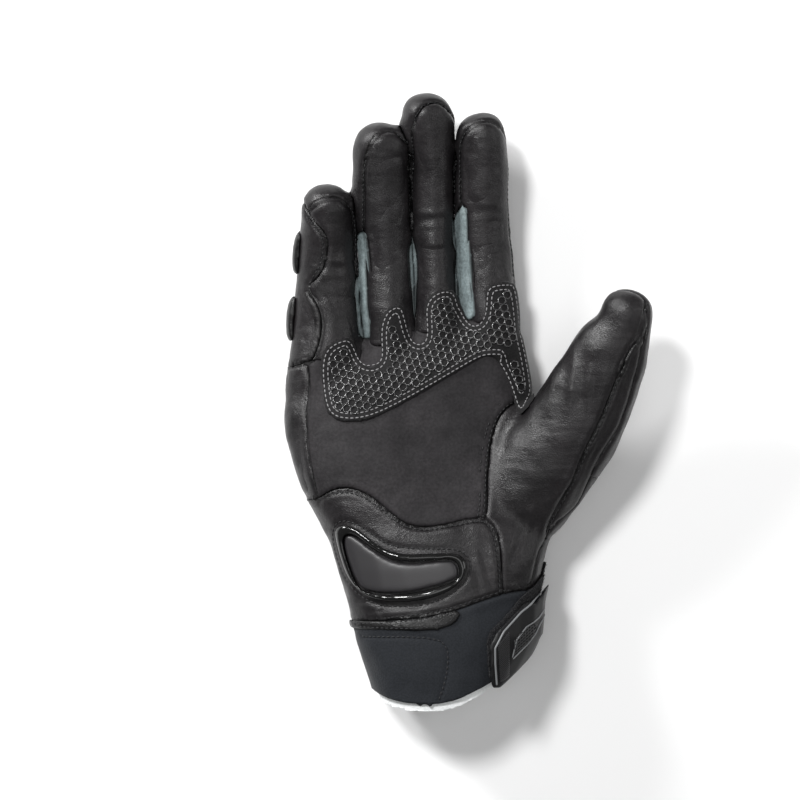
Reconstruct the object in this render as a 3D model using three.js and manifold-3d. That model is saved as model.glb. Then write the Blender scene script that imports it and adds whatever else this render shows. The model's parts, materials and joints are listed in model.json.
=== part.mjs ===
// A right-hand motorcycle glove with a short cuff, lying on its back with the palm up.
// X runs across the hand from the little finger to the thumb, Y from the cuff to the fingertips,
// and Z up out of the palm. Lengths are in millimetres.
//
// One hollow leather shell is made from lofted tubes, and is then cut along its seams into the
// panels that the real glove is sewn from. What is sewn or stuck on top is cut from a thin layer
// that follows the outside of that shell.
import * as THREE from "three";
import { mergeVertices } from "three/addons/utils/BufferGeometryUtils.js";
import Module from "manifold-3d";

const wasm = await Module();
wasm.setup();

// Driving sizes of the hand
const HAND_LENGTH = 151; // cuff hem to the webs between the fingers
const HAND_WIDTH = 100; // across the knuckles, without the thumb
const HAND_THICK = 42; // palm to back at the wrist
const HAND_SQUARE = 2.4; // 2 is an oval section, and more is squarer

// Walls, layers and clearances
const LEATHER = 1.8;
const SEAM_GAP = 0.3; // between panels that are sewn edge to edge
const SEAT_GAP = 0.3; // between a layer and what it lies on
const GRIP_LAYER = 1.3;
const BAND_LAYER = 1.2;
const STRAP_LAYER = 1.9;
const TAB_LAYER = 2.4;
const SLIDER_FRAME = 3.8;
const SLIDER_INSERT = 2.6;
const PAD_LAYER = 2.4; // knuckle pads on the little finger
const LINING = 1.1;
const LINING_SHOWN = 2.6; // how far the lining stands out of the cuff
const LINING_DEPTH = 44; // how far it reaches in from the hem

// Facets
const HAND_SIDES = 24;
const HAND_STEPS = 12;
const LIMB_SIDES = 12;
const LIMB_STEPS = 7;
const TIP_STEPS = 3;
const OUTLINE_STEPS = 2; // points of a curved outline for each one in its table
const FLATNESS = 0.165; // corners nearer than this to a flat face are left out
const INSIDE_FLATNESS = 0.4; // the same inside the leather, where nothing shows

// A short table with named columns becomes a list of rows.
function table(columns, rows) {
  return rows.map((row) => Object.fromEntries(columns.map((name, i) => [name, row[i]])));
}

// The hand and cuff, from beyond the hem to the webs. Columns are shares: at of the length, left
// and right of the width from the middle finger's side, top and floor of the thickness, and
// hollow of the thickness. skew slants a section towards the index finger.
const HAND = table(
  ["at", "left", "right", "top", "floor", "skew", "hollow"],
  [
    [-0.1, -0.11, 0.39, 1.05, 0.02, 0, 0],
    [0.03, -0.13, 0.41, 1.05, -0.01, 0, 0],
    [0.13, -0.193, 0.495, 1.05, 0.04, 0, 0],
    [0.2, -0.215, 0.535, 1.03, 0.08, 0, 0],
    [0.27, -0.243, 0.53, 1.0, 0.09, 0, 0],
    [0.33, -0.265, 0.55, 1.0, 0.08, 0, 0],
    [0.39, -0.295, 0.59, 0.99, 0.03, 0, 0],
    [0.45, -0.33, 0.59, 0.97, 0, 0, 0.02],
    [0.52, -0.395, 0.57, 0.93, -0.04, 0, 0.05],
    [0.61, -0.455, 0.555, 0.88, -0.05, 0, 0.08],
    [0.7, -0.487, 0.54, 0.82, -0.05, 0.05, 0.09],
    [0.8, -0.5, 0.515, 0.75, -0.05, 0.1, 0.07],
    [0.88, -0.495, 0.495, 0.69, -0.03, 0.2, 0.03],
    [0.93, -0.47, 0.47, 0.62, 0.01, 0.3, 0],
    [0.972, -0.38, 0.4, 0.48, 0.14, 0.32, 0],
  ],
);
const HAND_FRONT = 0.972;
const HOLLOW_AT = 0.22; // where the palm is deepest, as a share of the width
const HOLLOW_WIDE = 0.3;

// Fingers and thumb. across and along place the root as shares of the hand, heading is the
// direction in degrees from X, and tip is where the rounded end starts. Table columns are shares:
// at of the length, drift and wide of the width, thick and lift of the thickness. seamLeft and
// seamRight are where the palm-side panel ends, as shares of the half width.
const LIMB_COLUMNS = ["at", "drift", "wide", "thick", "lift", "seamLeft", "seamRight"];
const LITTLE = {
  across: -0.32,
  along: 0.834,
  heading: 90,
  length: 82.8,
  width: 23,
  thick: 21,
  tip: 0.88,
  rows: table(LIMB_COLUMNS, [
    [-0.15, 0, 1.25, 1.17, 0.6, -1, 0.93],
    [0, -0.07, 1.45, 1.17, 0.64, -1, 0.93],
    [0.214, 0, 1.33, 1.1, 0.64, -1, 0.93],
    [0.429, -0.035, 1.18, 1.03, 0.67, -1, 0.93],
    [0.679, -0.01, 1.01, 1.0, 0.78, -0.95, 0.93],
    [0.845, -0.01, 0.96, 0.95, 0.97, -0.7, 0.95],
    [1, 0.05, 0.9, 0.9, 1.3, -0.6, 0.95],
  ]),
};
const RING = {
  across: -0.05,
  along: 0.854,
  heading: 90,
  length: 106,
  width: 20.5,
  thick: 22,
  tip: 0.885,
  rows: table(LIMB_COLUMNS, [
    [0, 0, 0.95, 1.12, 0.61, -0.86, 0.93],
    [0.16, -0.08, 1.02, 1.09, 0.61, -0.8, 0.93],
    [0.35, -0.105, 1.05, 1.0, 0.64, -0.8, 0.93],
    [0.51, -0.145, 1.03, 0.97, 0.7, -0.78, 0.93],
    [0.73, -0.25, 1.15, 0.96, 0.88, -0.55, 0.95],
    [0.86, -0.27, 1.15, 0.92, 1.04, -0.46, 0.96],
    [1, -0.17, 1.1, 0.9, 1.24, -0.46, 0.96],
  ]),
};
const MIDDLE = {
  across: 0.14,
  along: 0.881,
  heading: 90,
  length: 113.5,
  width: 19.5,
  thick: 22,
  tip: 0.9,
  rows: table(LIMB_COLUMNS, [
    [0, 0, 1.03, 1.12, 0.61, -0.9, 0.93],
    [0.16, -0.042, 0.946, 1.08, 0.61, -0.9, 0.93],
    [0.29, -0.057, 0.86, 1.0, 0.64, -0.9, 0.93],
    [0.51, -0.126, 0.851, 0.97, 0.69, -0.93, 0.93],
    [0.73, -0.136, 0.861, 0.96, 0.86, -0.9, 0.94],
    [0.85, -0.15, 1.0, 0.94, 1.02, -0.8, 0.95],
    [0.91, -0.27, 1.18, 0.92, 1.1, -0.5, 0.95],
    [1, -0.25, 1.1, 0.9, 1.24, -0.48, 0.95],
  ]),
};
const INDEX = {
  across: 0.355,
  along: 0.92,
  heading: 90,
  length: 99.6,
  width: 20,
  thick: 22,
  tip: 0.885,
  rows: table(LIMB_COLUMNS, [
    [0, 0, 1.05, 1.1, 0.64, -0.72, 0.93],
    [0.19, -0.027, 1.153, 1.05, 0.64, -0.64, 0.93],
    [0.32, -0.092, 1.184, 1.0, 0.66, -0.62, 0.93],
    [0.52, -0.165, 1.11, 0.97, 0.71, -0.74, 0.93],
    [0.72, -0.181, 1.062, 0.96, 0.88, -0.78, 0.95],
    [0.87, -0.17, 1.02, 0.92, 1.03, -0.88, 0.97],
    [1, -0.26, 0.98, 0.9, 1.22, -0.85, 0.97],
  ]),
};
const THUMB = {
  across: 0.43,
  along: 0.532,
  heading: 60.3,
  length: 98,
  width: 38,
  thick: 30,
  tip: 0.9,
  rows: table(LIMB_COLUMNS, [
    [0, 0.05, 1.16, 1.1, 0.67],
    [0.133, 0.097, 1.142, 1.09, 0.74],
    [0.378, 0.195, 1.076, 1.03, 0.9],
    [0.49, 0.19, 1.013, 0.98, 0.98],
    [0.612, 0.166, 0.92, 0.9, 1.08],
    [0.735, 0.14, 0.842, 0.84, 1.18],
    [0.857, 0.137, 0.7, 0.74, 1.29],
    [0.9, 0.1, 0.56, 0.68, 1.34],
    [1, 0, 0.5, 0.64, 1.42],
  ]),
};
const FINGERS = { little: LITTLE, ring: RING, middle: MIDDLE, index: INDEX };
const TIP_BLUNT = 0.8; // 1 is a round fingertip, and less is blunter
const FRONT_END = 0.985; // where the palm-side panel of a finger ends, just short of its tip
const FINGER_BASE = 0.14; // where a finger's own panels are sewn to the hand
const THUMB_BASE = 0.3; // where the back of the thumb is sewn to the hand
const LIMB_ROOM = 0.1; // how far a cutter for one limb alone stands off its leather, in millimetres

// Side gussets between the fingers: which finger, which side, where along it they run, and how
// far they reach towards the front of the finger as a share of its half thickness.
const GUSSETS = table(
  ["finger", "side", "from", "to", "front"],
  [
    ["little", 1, 0.25, 0.56, 0.34],
    ["ring", -1, 0.17, 0.6, 0.6],
    ["ring", 1, 0.2, 0.54, 0.34],
    ["middle", -1, 0.17, 0.5, 0.34],
    ["middle", 1, 0.2, 0.56, 0.24],
    ["index", -1, 0.16, 0.64, 0.76],
  ],
);
const GUSSET_INNER = 0.45; // how near a finger's middle line a gusset reaches
const GUSSET_POINT = 0.8; // how much a gusset narrows at its far end
const GUSSET_BACK = -0.62; // how far a gusset reaches towards the back of the finger

// Knuckle pads on the outer side of the little finger, as shares of its length
const PADS = table(
  ["from", "to"],
  [
    [0.23, 0.47],
    [0.56, 0.79],
  ],
);

// Outlines seen on the palm. Each point is a share of the hand's width across and of its length
// along, from the middle of the knuckles and from the hem.
const GRIP_OUTLINE = [
  [-0.331, 0.948], [-0.233, 0.976], [-0.208, 0.966], [-0.185, 0.914], [-0.139, 0.893],
  [-0.098, 0.915], [-0.109, 0.972], [-0.107, 1.031], [-0.021, 1.067], [0.002, 1.052],
  [0.022, 0.974], [0.053, 0.953], [0.088, 0.975], [0.074, 1.05], [0.105, 1.094],
  [0.2, 1.107], [0.223, 1.074], [0.264, 1.012], [0.302, 1.008], [0.328, 1.04],
  [0.324, 1.104], [0.35, 1.119], [0.45, 1.126], [0.474, 1.06], [0.499, 0.941],
  [0.525, 0.858], [0.527, 0.81], [0.497, 0.783], [0.468, 0.764], [0.449, 0.79],
  [0.432, 0.844], [0.394, 0.891], [0.352, 0.922], [0.3, 0.914], [0.185, 0.869],
  [0.042, 0.813], [-0.115, 0.758], [-0.252, 0.743], [-0.324, 0.771], [-0.339, 0.831],
  [-0.35, 0.896],
];
const SLIDER_OUTLINE = [
  [-0.286, 0.455], [-0.258, 0.47], [-0.21, 0.463], [-0.16, 0.441], [-0.114, 0.416],
  [-0.056, 0.398], [0.028, 0.391], [0.153, 0.394], [0.216, 0.391], [0.245, 0.377],
  [0.254, 0.355], [0.237, 0.325], [0.175, 0.289], [0.07, 0.266], [-0.014, 0.26],
  [-0.119, 0.266], [-0.181, 0.286], [-0.231, 0.322], [-0.265, 0.38], [-0.282, 0.427],
];
const INSERT_OUTLINE = [
  [-0.252, 0.436], [-0.227, 0.444], [-0.202, 0.438], [-0.148, 0.411], [-0.089, 0.386],
  [-0.022, 0.37], [0.07, 0.37], [0.195, 0.376], [0.216, 0.356], [0.22, 0.328],
  [0.153, 0.308], [0.061, 0.291], [-0.056, 0.282], [-0.16, 0.289], [-0.194, 0.305],
  [-0.227, 0.353], [-0.248, 0.399],
];
const GUARD_OUTLINE = [
  [-0.44, 1.372], [-0.416, 1.346], [-0.395, 1.303], [-0.348, 1.272], [-0.32, 1.245],
  [-0.32, 1.215], [-0.328, 1.181], [-0.342, 1.149], [-0.375, 1.131], [-0.405, 1.116],
  [-0.4, 1.092], [-0.367, 1.069], [-0.346, 1.043], [-0.344, 0.994], [-0.354, 0.952],
  [-0.376, 0.919], [-0.42, 0.903], [-0.6, 0.897], [-0.6, 1.372],
];
const EDGE_OUTLINE = [
  [-0.6, 0.9], [-0.41, 0.904], [-0.395, 0.893], [-0.399, 0.827], [-0.404, 0.744],
  [-0.395, 0.661], [-0.374, 0.587], [-0.35, 0.52], [-0.33, 0.47], [-0.6, 0.45],
];
const HEEL_OUTLINE = [
  [-0.6, 0.545], [-0.36, 0.532], [-0.308, 0.555], [-0.246, 0.568], [-0.185, 0.557],
  [-0.115, 0.533], [-0.056, 0.496], [0.007, 0.466], [0.07, 0.458], [0.132, 0.461],
  [0.237, 0.48], [0.307, 0.487], [0.34, 0.481], [0.363, 0.462], [0.378, 0.437],
  [0.387, 0.37], [0.389, 0.329], [0.384, 0.24], [0.2, 0.15], [-0.6, 0.15],
];
const PALM_OUTLINE = [
  [-0.43, 0.62], [-0.43, 0.94], [-0.35, 1.0], [0.5, 1.0], [0.53, 0.86],
  [0.5, 0.8], [0.444, 0.799], [0.387, 0.765], [0.364, 0.733], [0.345, 0.684],
  [0.336, 0.609], [0.326, 0.487], [0.326, 0.42], [-0.35, 0.42],
];
const THUMB_SEAM = [
  [0.9, 1.18], [0.929, 1.115], [0.962, 1.069], [0.963, 1.032], [0.945, 0.978],
  [0.901, 0.939], [0.871, 0.885], [0.834, 0.824], [0.802, 0.765], [0.731, 0.671],
  [0.684, 0.593], [0.646, 0.547], [0.59, 0.478], [0.562, 0.422], [0.533, 0.381],
  [0.496, 0.2],
];
const THUMB_PALM_SIDE = [
  [0.3, 0.2], [0.3, 0.82], [0.58, 0.86], [0.62, 1.1], [0.75, 1.2],
];
const STRIP_SEAM = [
  [0.565, 0.4], [0.59, 0.45], [0.637, 0.484], [0.698, 0.515],
  [0.74, 0.578], [0.82, 0.684], [0.885, 0.746], [0.938, 0.819], [0.971, 0.885],
  [1.008, 0.959], [1.03, 1.0], [1.06, 1.18],
];
const STRIP_START = 0.4; // where the strip begins, as a share of the hand's length
const CUFF_SEAM = [
  [-0.6, 0.188], [-0.308, 0.196], [-0.163, 0.205], [-0.037, 0.212], [0.107, 0.224],
  [0.228, 0.243], [0.384, 0.281], [0.498, 0.292], [0.7, 0.32], [1.4, 0.4],
];
const HEM_CURVE = [
  [-0.5, 0.16], [-0.226, 0.062], [-0.164, 0.036], [-0.1, 0.01], [-0.037, -0.004],
  [0.033, -0.012], [0.102, -0.013], [0.194, -0.004], [0.266, 0.017], [0.337, 0.041],
  [0.43, 0.079], [0.7, 0.16], [1.4, 0.3],
];
const BAND_OUTLINE = [
  [-0.6, 0.206], [-0.3, 0.208], [-0.163, 0.21], [-0.037, 0.214], [0.107, 0.226],
  [0.205, 0.242], [0.228, 0.228], [0.193, 0.201], [0.135, 0.186], [-0.008, 0.182],
  [-0.152, 0.184], [-0.3, 0.186], [-0.6, 0.186],
];
const TAB_OUTLINE = [
  [0.349, 0.04], [0.358, 0.03], [0.387, 0.03], [0.539, 0.12], [0.557, 0.161],
  [0.7, 0.19], [0.7, 0.33], [0.6, 0.31], [0.53, 0.256], [0.491, 0.262],
  [0.37, 0.18], [0.341, 0.14],
];
const STRAP_OUTLINE = [
  [0.34, 0.055], [0.36, 0.05], [0.4, 0.055], [0.56, 0.16], [0.7, 0.2],
  [0.7, 0.37], [0.6, 0.345], [0.523, 0.299], [0.471, 0.273], [0.395, 0.215],
  [0.345, 0.186], [0.329, 0.151],
];
const STRAP_BACK_OUTLINE = [
  [-0.08, 0.2], [0.3, 0.19], [0.7, 0.2], [0.7, 0.37], [0.3, 0.35], [-0.08, 0.34],
];

// Heights that split the palm side from the back, as shares of the hand's thickness
const SIDE_SEAM = 0.36;
const GUARD_BACK = 0.12;
const THUMB_BACK = -0.45; // the thumb's back seam is a plane, this high at the design origin
const THUMB_BACK_LEAN = [0.53, 0.086]; // its rise for each millimetre along X and along Y
const THUMB_LOWEST = 0.27; // the plane goes no lower than this
const SKY = 3; // well above the glove, as a share of its thickness
const REACH = 40; // how far a cutter stands past the leather, in millimetres

// Smooth value of one column at a share along a table, with flat runs kept flat.
function value(rows, column, at) {
  const last = rows.length - 1;
  let i = rows.findIndex((row) => row.at > at) - 1;
  if (i < 0) i = at <= rows[0].at ? 0 : last - 1;
  const span = rows[i + 1].at - rows[i].at;
  const t = (at - rows[i].at) / span;
  const slope = (j) => {
    const a = rows[Math.max(j - 1, 0)];
    const b = rows[Math.min(j + 1, last)];
    return ((b[column] - a[column]) / (b.at - a.at)) * span;
  };
  if (t > 1) return rows[i + 1][column] + slope(i + 1) * (t - 1);
  const t2 = t * t;
  const t3 = t2 * t;
  return (
    (2 * t3 - 3 * t2 + 1) * rows[i][column] +
    (t3 - 2 * t2 + t) * slope(i) +
    (3 * t2 - 2 * t3) * rows[i + 1][column] +
    (t3 - t2) * slope(i + 1)
  );
}

const across = (share) => share * HAND_WIDTH;
const along = (share) => share * HAND_LENGTH;
const point = ([a, l]) => new THREE.Vector2(across(a), along(l));

// A closed geometry through rings of points that run anticlockwise seen from the first ring.
function loft(rings) {
  const sides = rings[0].length;
  const corners = [];
  const triangle = (a, b, c) => corners.push(...a.toArray(), ...b.toArray(), ...c.toArray());
  const middle = (ring) =>
    ring.reduce((sum, p) => sum.add(p), new THREE.Vector3()).divideScalar(sides);
  const first = middle(rings[0]);
  const last = middle(rings.at(-1));
  for (let j = 0; j < sides; j++) {
    const k = (j + 1) % sides;
    triangle(first, rings[0][j], rings[0][k]);
    triangle(last, rings.at(-1)[k], rings.at(-1)[j]);
    for (let i = 0; i + 1 < rings.length; i++) {
      triangle(rings[i][j], rings[i + 1][j], rings[i][k]);
      triangle(rings[i][k], rings[i + 1][j], rings[i + 1][k]);
    }
  }
  const geometry = new THREE.BufferGeometry();
  geometry.setAttribute("position", new THREE.Float32BufferAttribute(corners, 3));
  return geometry;
}

// A closed geometry as a solid that can be joined and cut.
function solid(geometry) {
  const bare = geometry.clone();
  bare.deleteAttribute("normal");
  bare.deleteAttribute("uv");
  const merged = mergeVertices(bare, 1e-3);
  const index = merged.index.array;
  const kept = [];
  for (let i = 0; i < index.length; i += 3) {
    const [a, b, c] = index.slice(i, i + 3);
    if (a !== b && b !== c && c !== a) kept.push(a, b, c);
  }
  return new wasm.Manifold(
    new wasm.Mesh({
      numProp: 3,
      vertProperties: merged.attributes.position.array,
      triVerts: new Uint32Array(kept),
    }),
  );
}

// Hand and cuff, grown outwards by a margin, and flat where the glove rests on its back.
function hand(grow) {
  const rings = [];
  const start = HAND[0].at;
  for (let i = 0; i <= HAND_STEPS; i++) {
    const at = start + ((HAND_FRONT - start) * i) / HAND_STEPS;
    const row = (column) => value(HAND, column, at);
    const middle = across((row("left") + row("right")) / 2);
    const half = across((row("right") - row("left")) / 2) + grow;
    const centre = ((row("top") + row("floor")) / 2) * HAND_THICK;
    const rise = ((row("top") - row("floor")) / 2) * HAND_THICK + grow;
    const end = i === HAND_STEPS ? grow : 0;
    const ring = [];
    for (let j = 0; j < HAND_SIDES; j++) {
      const angle = (2 * Math.PI * j) / HAND_SIDES;
      const round = (n) => Math.sign(n) * Math.abs(n) ** (2 / HAND_SQUARE);
      const x = middle + half * round(Math.cos(angle));
      const dent = Math.exp(-(((x / HAND_WIDTH - HOLLOW_AT) / HOLLOW_WIDE) ** 2));
      const sunk = row("hollow") * HAND_THICK * dent * Math.max(0, Math.sin(angle));
      const z = centre + rise * round(Math.sin(angle)) - sunk;
      ring.push(new THREE.Vector3(x, along(at) + end + row("skew") * x, Math.max(z, -grow)));
    }
    rings.push(ring);
  }
  return solid(loft(rings));
}

// Where a finger or thumb is at a share of its length, with its section's axes and half sizes.
function section(limb, at) {
  const turn = THREE.MathUtils.degToRad(limb.heading);
  const ahead = new THREE.Vector3(Math.cos(turn), Math.sin(turn), 0);
  const right = new THREE.Vector3(Math.sin(turn), -Math.cos(turn), 0);
  const centreAt = (share) =>
    new THREE.Vector3(across(limb.across), along(limb.along), 0)
      .addScaledVector(ahead, share * limb.length)
      .addScaledVector(right, value(limb.rows, "drift", share) * limb.width)
      .setZ(value(limb.rows, "lift", share) * limb.thick);
  const step = 0.01;
  const tangent = centreAt(at + step).sub(centreAt(at - step)).normalize();
  const side = new THREE.Vector3().crossVectors(tangent, new THREE.Vector3(0, 0, 1)).normalize();
  const up = new THREE.Vector3().crossVectors(side, tangent);
  return {
    centre: centreAt(at),
    side,
    up,
    half: (value(limb.rows, "wide", at) * limb.width) / 2,
    rise: (value(limb.rows, "thick", at) * limb.thick) / 2,
  };
}

function place(cut, s, u) {
  return cut.centre.clone().addScaledVector(cut.side, s).addScaledVector(cut.up, u);
}

function oval(cut, half, rise, floor) {
  return Array.from({ length: LIMB_SIDES }, (_, j) => {
    const angle = (2 * Math.PI * j) / LIMB_SIDES;
    const p = place(cut, half * Math.cos(angle), rise * Math.sin(angle));
    return p.setZ(Math.max(p.z, floor));
  });
}

// A finger or the thumb with its rounded tip, grown outwards by a margin.
function limbSolid(limb, grow) {
  const rings = [];
  const root = limb.rows[0].at;
  for (let i = 0; i <= LIMB_STEPS; i++) {
    const cut = section(limb, root + ((limb.tip - root) * i) / LIMB_STEPS);
    rings.push(oval(cut, cut.half + grow, cut.rise + grow, -grow));
  }
  const shoulder = section(limb, limb.tip);
  const tipLength = (1 - limb.tip) * limb.length;
  for (let i = 1; i <= TIP_STEPS; i++) {
    const angle = ((Math.PI / 2) * i) / TIP_STEPS;
    const share = (1 - limb.tip) * Math.sin(angle) ** TIP_BLUNT * (1 + grow / tipLength);
    const cut = section(limb, limb.tip + share);
    const shrink = i < TIP_STEPS ? Math.cos(angle) ** TIP_BLUNT : 0;
    rings.push(oval(cut, (shoulder.half + grow) * shrink, (shoulder.rise + grow) * shrink, -grow));
  }
  return solid(loft(rings));
}

const grown = new Map();

// The whole outside of the glove as one closed solid, grown outwards by a margin.
function body(grow) {
  if (!grown.has(grow)) {
    const limbs = [...Object.values(FINGERS), THUMB].map((limb) => limbSolid(limb, grow));
    grown.set(grow, limbs.reduce((whole, limb) => whole.add(limb), hand(grow)));
  }
  return grown.get(grow);
}

// A layer that follows the outside of the glove between two heights above the leather.
function layer(low, high) {
  return body(high).subtract(body(low));
}

// A smooth closed or open curve through outline points.
function curved(points, closed) {
  const path = points.map((p) => new THREE.Vector3(...point(p).toArray(), 0));
  const curve = new THREE.CatmullRomCurve3(path, closed, "centripetal");
  const count = OUTLINE_STEPS * (closed ? points.length : points.length - 1);
  const found = curve.getPoints(count).map((p) => new THREE.Vector2(p.x, p.y));
  if (closed) found.pop();
  return found;
}

// Moves every side of an outline outwards by a margin, or inwards by a negative one. A side that
// would turn round in a tight corner is left out.
function spread(points, margin) {
  const turn = Math.sign(THREE.ShapeUtils.area(points));
  const count = points.length;
  const moved = points.map((p, i) => {
    const run = points[(i + 1) % count].clone().sub(points.at(i - 1)).normalize();
    return new THREE.Vector2(p.x + run.y * margin * turn, p.y - run.x * margin * turn);
  });
  return moved.filter((p, i) => {
    const was = points[i].clone().sub(points.at(i - 1));
    return p.clone().sub(moved.at(i - 1)).dot(was) > 0;
  });
}

// An upright prism on an outline, from one height to another. lean is its rise along X and Y.
function prism(points, low, high, lean = [0, 0]) {
  const geometry = new THREE.ExtrudeGeometry(new THREE.Shape(points), {
    depth: high - low,
    bevelEnabled: false,
  });
  const tilt = new THREE.Matrix4().set(1, 0, 0, 0, 0, 1, 0, 0, lean[0], lean[1], 1, low, 0, 0, 0, 1);
  geometry.applyMatrix4(tilt);
  return solid(geometry);
}

const SKY_HEIGHT = SKY * HAND_THICK;

// A cutter on the palm side that stands on a closed outline.
function palmCutter(outline, low = SIDE_SEAM) {
  const points = curved(outline, true);
  return (grow) => prism(spread(points, grow), low * HAND_THICK - grow, SKY_HEIGHT);
}

// A cutter that runs along a finger with a four-sided section given by its edges. Its sections
// stand closer towards the fingertip, where panels round off.
function fingerCutter(limb, from, to, edges) {
  return (grow) => {
    const rings = [];
    const steps = LIMB_STEPS + TIP_STEPS;
    for (let i = 0; i <= steps; i++) {
      const at = from + (to - from) * Math.sin((Math.PI / 2) * (i / steps));
      const cut = section(limb, at);
      const e = edges(cut, at);
      rings.push([
        place(cut, e.left - grow, e.low - grow),
        place(cut, e.right + grow, e.low - grow),
        place(cut, e.right + grow, e.high + grow),
        place(cut, e.left - grow, e.high + grow),
      ]);
    }
    const ahead = new THREE.Vector3(0, grow, 0);
    rings[0].forEach((p) => p.sub(ahead));
    rings.at(-1).forEach((p) => p.add(ahead));
    return solid(loft(rings));
  };
}

// The palm-side panel of a finger: it rounds off just short of the fingertip.
function fingerFront(limb) {
  return fingerCutter(limb, FINGER_BASE, FRONT_END, (cut, at) => {
    const left = value(limb.rows, "seamLeft", at) * cut.half;
    const right = value(limb.rows, "seamRight", at) * cut.half;
    const end = Math.max(0, (at - limb.tip) / (FRONT_END - limb.tip));
    const narrow = Math.sqrt(Math.max(0.04, 1 - end * end));
    const centre = (left + right) / 2;
    const half = ((right - left) / 2) * narrow;
    return { left: centre - half, right: centre + half, low: 0, high: REACH };
  });
}

// Cuts only the limb that a cutter is meant for, and nothing of its neighbours.
function onlyOf(limb, cutter) {
  return (grow) => cutter(grow).intersect(limbSolid(limb, LIMB_ROOM + grow));
}

function gussetCutter({ finger, side, from, to, front }) {
  const limb = FINGERS[finger];
  const run = fingerCutter(limb, from, to, (cut, at) => {
    const inner = GUSSET_INNER * cut.half * side;
    const outer = (cut.half + LEATHER) * side;
    const narrow = GUSSET_POINT * ((at - from) / (to - from)) ** 4;
    return {
      left: Math.min(inner, outer),
      right: Math.max(inner, outer),
      low: (GUSSET_BACK + (front - GUSSET_BACK) * narrow) * cut.rise,
      high: front * cut.rise,
    };
  });
  return onlyOf(limb, run);
}

// Everything of a finger or the thumb past a share of its length.
function limbCutter(limb, from) {
  const past = fingerCutter(limb, from, 1.1, () => ({
    left: -REACH,
    right: REACH,
    low: -REACH,
    high: REACH,
  }));
  return onlyOf(limb, past);
}

// The largest body of a cut: what a knife leaves beside it is scrap.
function largest(cut) {
  const bodies = cut.decompose();
  return bodies.reduce((best, b) => (b.volume() > best.volume() ? b : best), bodies[0]);
}

const glove = new THREE.Group();

function finish(colour, roughness, metalness = 0) {
  return new THREE.MeshStandardMaterial({ color: new THREE.Color(...colour), roughness, metalness });
}

const BLACK_LEATHER = finish([0.035, 0.033, 0.036], 0.5);
const PALM_LEATHER = finish([0.042, 0.038, 0.042], 0.62);
const GREY_LEATHER = finish([0.3, 0.36, 0.37], 0.6);
const GRIP_SILICONE = finish([0.015, 0.015, 0.016], 0.25);
const NEOPRENE = finish([0.018, 0.02, 0.026], 0.85);
const LINING_CLOTH = finish([0.33, 0.36, 0.37], 0.9);
const GLOSS_PLASTIC = finish([0.008, 0.008, 0.009], 0.08);
const MATTE_PLASTIC = finish([0.06, 0.058, 0.062], 0.45);
const STRAP_WEB = finish([0.012, 0.012, 0.013], 0.95);
const TAB_RUBBER = finish([0.028, 0.027, 0.03], 0.5);

function add(name, cut, material) {
  const mesh = largest(cut.asOriginal().simplify(FLATNESS)).getMesh();
  const geometry = new THREE.BufferGeometry();
  geometry.setAttribute("position", new THREE.BufferAttribute(mesh.vertProperties, 3));
  geometry.setIndex(new THREE.BufferAttribute(mesh.triVerts, 1));
  geometry.computeVertexNormals();
  const piece = new THREE.Mesh(geometry, material);
  piece.name = name;
  glove.add(piece);
}

// The part of the hand beyond an open curve that crosses it, towards the fingers.
function beyond(curve, shift) {
  const line = curved(curve, false).map((p) => new THREE.Vector2(p.x, p.y + shift));
  const far = along(2);
  const right = line.at(-1).x;
  const left = line[0].x;
  return prism([...line, new THREE.Vector2(right, far), new THREE.Vector2(left, far)],
    -SKY_HEIGHT, SKY_HEIGHT);
}

// The leather shell, open at the hem
const inside = body(-LEATHER).asOriginal().simplify(INSIDE_FLATNESS);
let shell = body(0).subtract(inside).intersect(beyond(HEM_CURVE, 0));

// Cuts a panel out of the shell along its seams and leaves the seam gap round it.
function panel(name, cutter, material) {
  add(name, shell.intersect(cutter(0)), material);
  shell = shell.subtract(cutter(SEAM_GAP));
}

function cutPanels() {
  const toHem = (grow) => body(REACH / 4).subtract(beyond(CUFF_SEAM, grow));
  panel("cuff", toHem, NEOPRENE);
  GUSSETS.forEach((row) => {
    const side = row.side > 0 ? "right" : "left";
    panel(`gusset_${row.finger}_${side}`, gussetCutter(row), GREY_LEATHER);
  });
  panel("little_finger_guard", palmCutter(GUARD_OUTLINE, GUARD_BACK), BLACK_LEATHER);
  panel("heel_panel", palmCutter(HEEL_OUTLINE), BLACK_LEATHER);
  panel("edge_panel", palmCutter(EDGE_OUTLINE, GUARD_BACK), BLACK_LEATHER);
  Object.entries(FINGERS).forEach(([finger, limb]) => {
    panel(`finger_front_${finger}`, fingerFront(limb), BLACK_LEATHER);
  });
  panel("palm_panel", palmCutter(PALM_OUTLINE), PALM_LEATHER);
  const seam = curved(THUMB_SEAM, false);
  const front = [...seam, ...THUMB_PALM_SIDE.map(point)];
  const strip = [...curved(STRIP_SEAM, false), ...seam.filter((p) => p.y > along(STRIP_START))];
  const thumbCutter = (points) => (grow) => {
    const around = spread(points, grow);
    const leaning = prism(around, THUMB_BACK * HAND_THICK - grow, SKY_HEIGHT, THUMB_BACK_LEAN);
    return leaning.intersect(prism(around, THUMB_LOWEST * HAND_THICK - grow, SKY_HEIGHT));
  };
  panel("thumb_panel", thumbCutter(front), BLACK_LEATHER);
  panel("thumb_strip", thumbCutter(strip), BLACK_LEATHER);
  Object.entries(FINGERS).forEach(([finger, limb]) => {
    panel(`finger_back_${finger}`, limbCutter(limb, FINGER_BASE), BLACK_LEATHER);
  });
  panel("thumb_back", limbCutter(THUMB, THUMB_BASE), BLACK_LEATHER);
  add("back_panel", shell, BLACK_LEATHER);
}

function layOn(name, cutter, low, high, material) {
  add(name, layer(low, high).intersect(cutter(0)), material);
}

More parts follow.
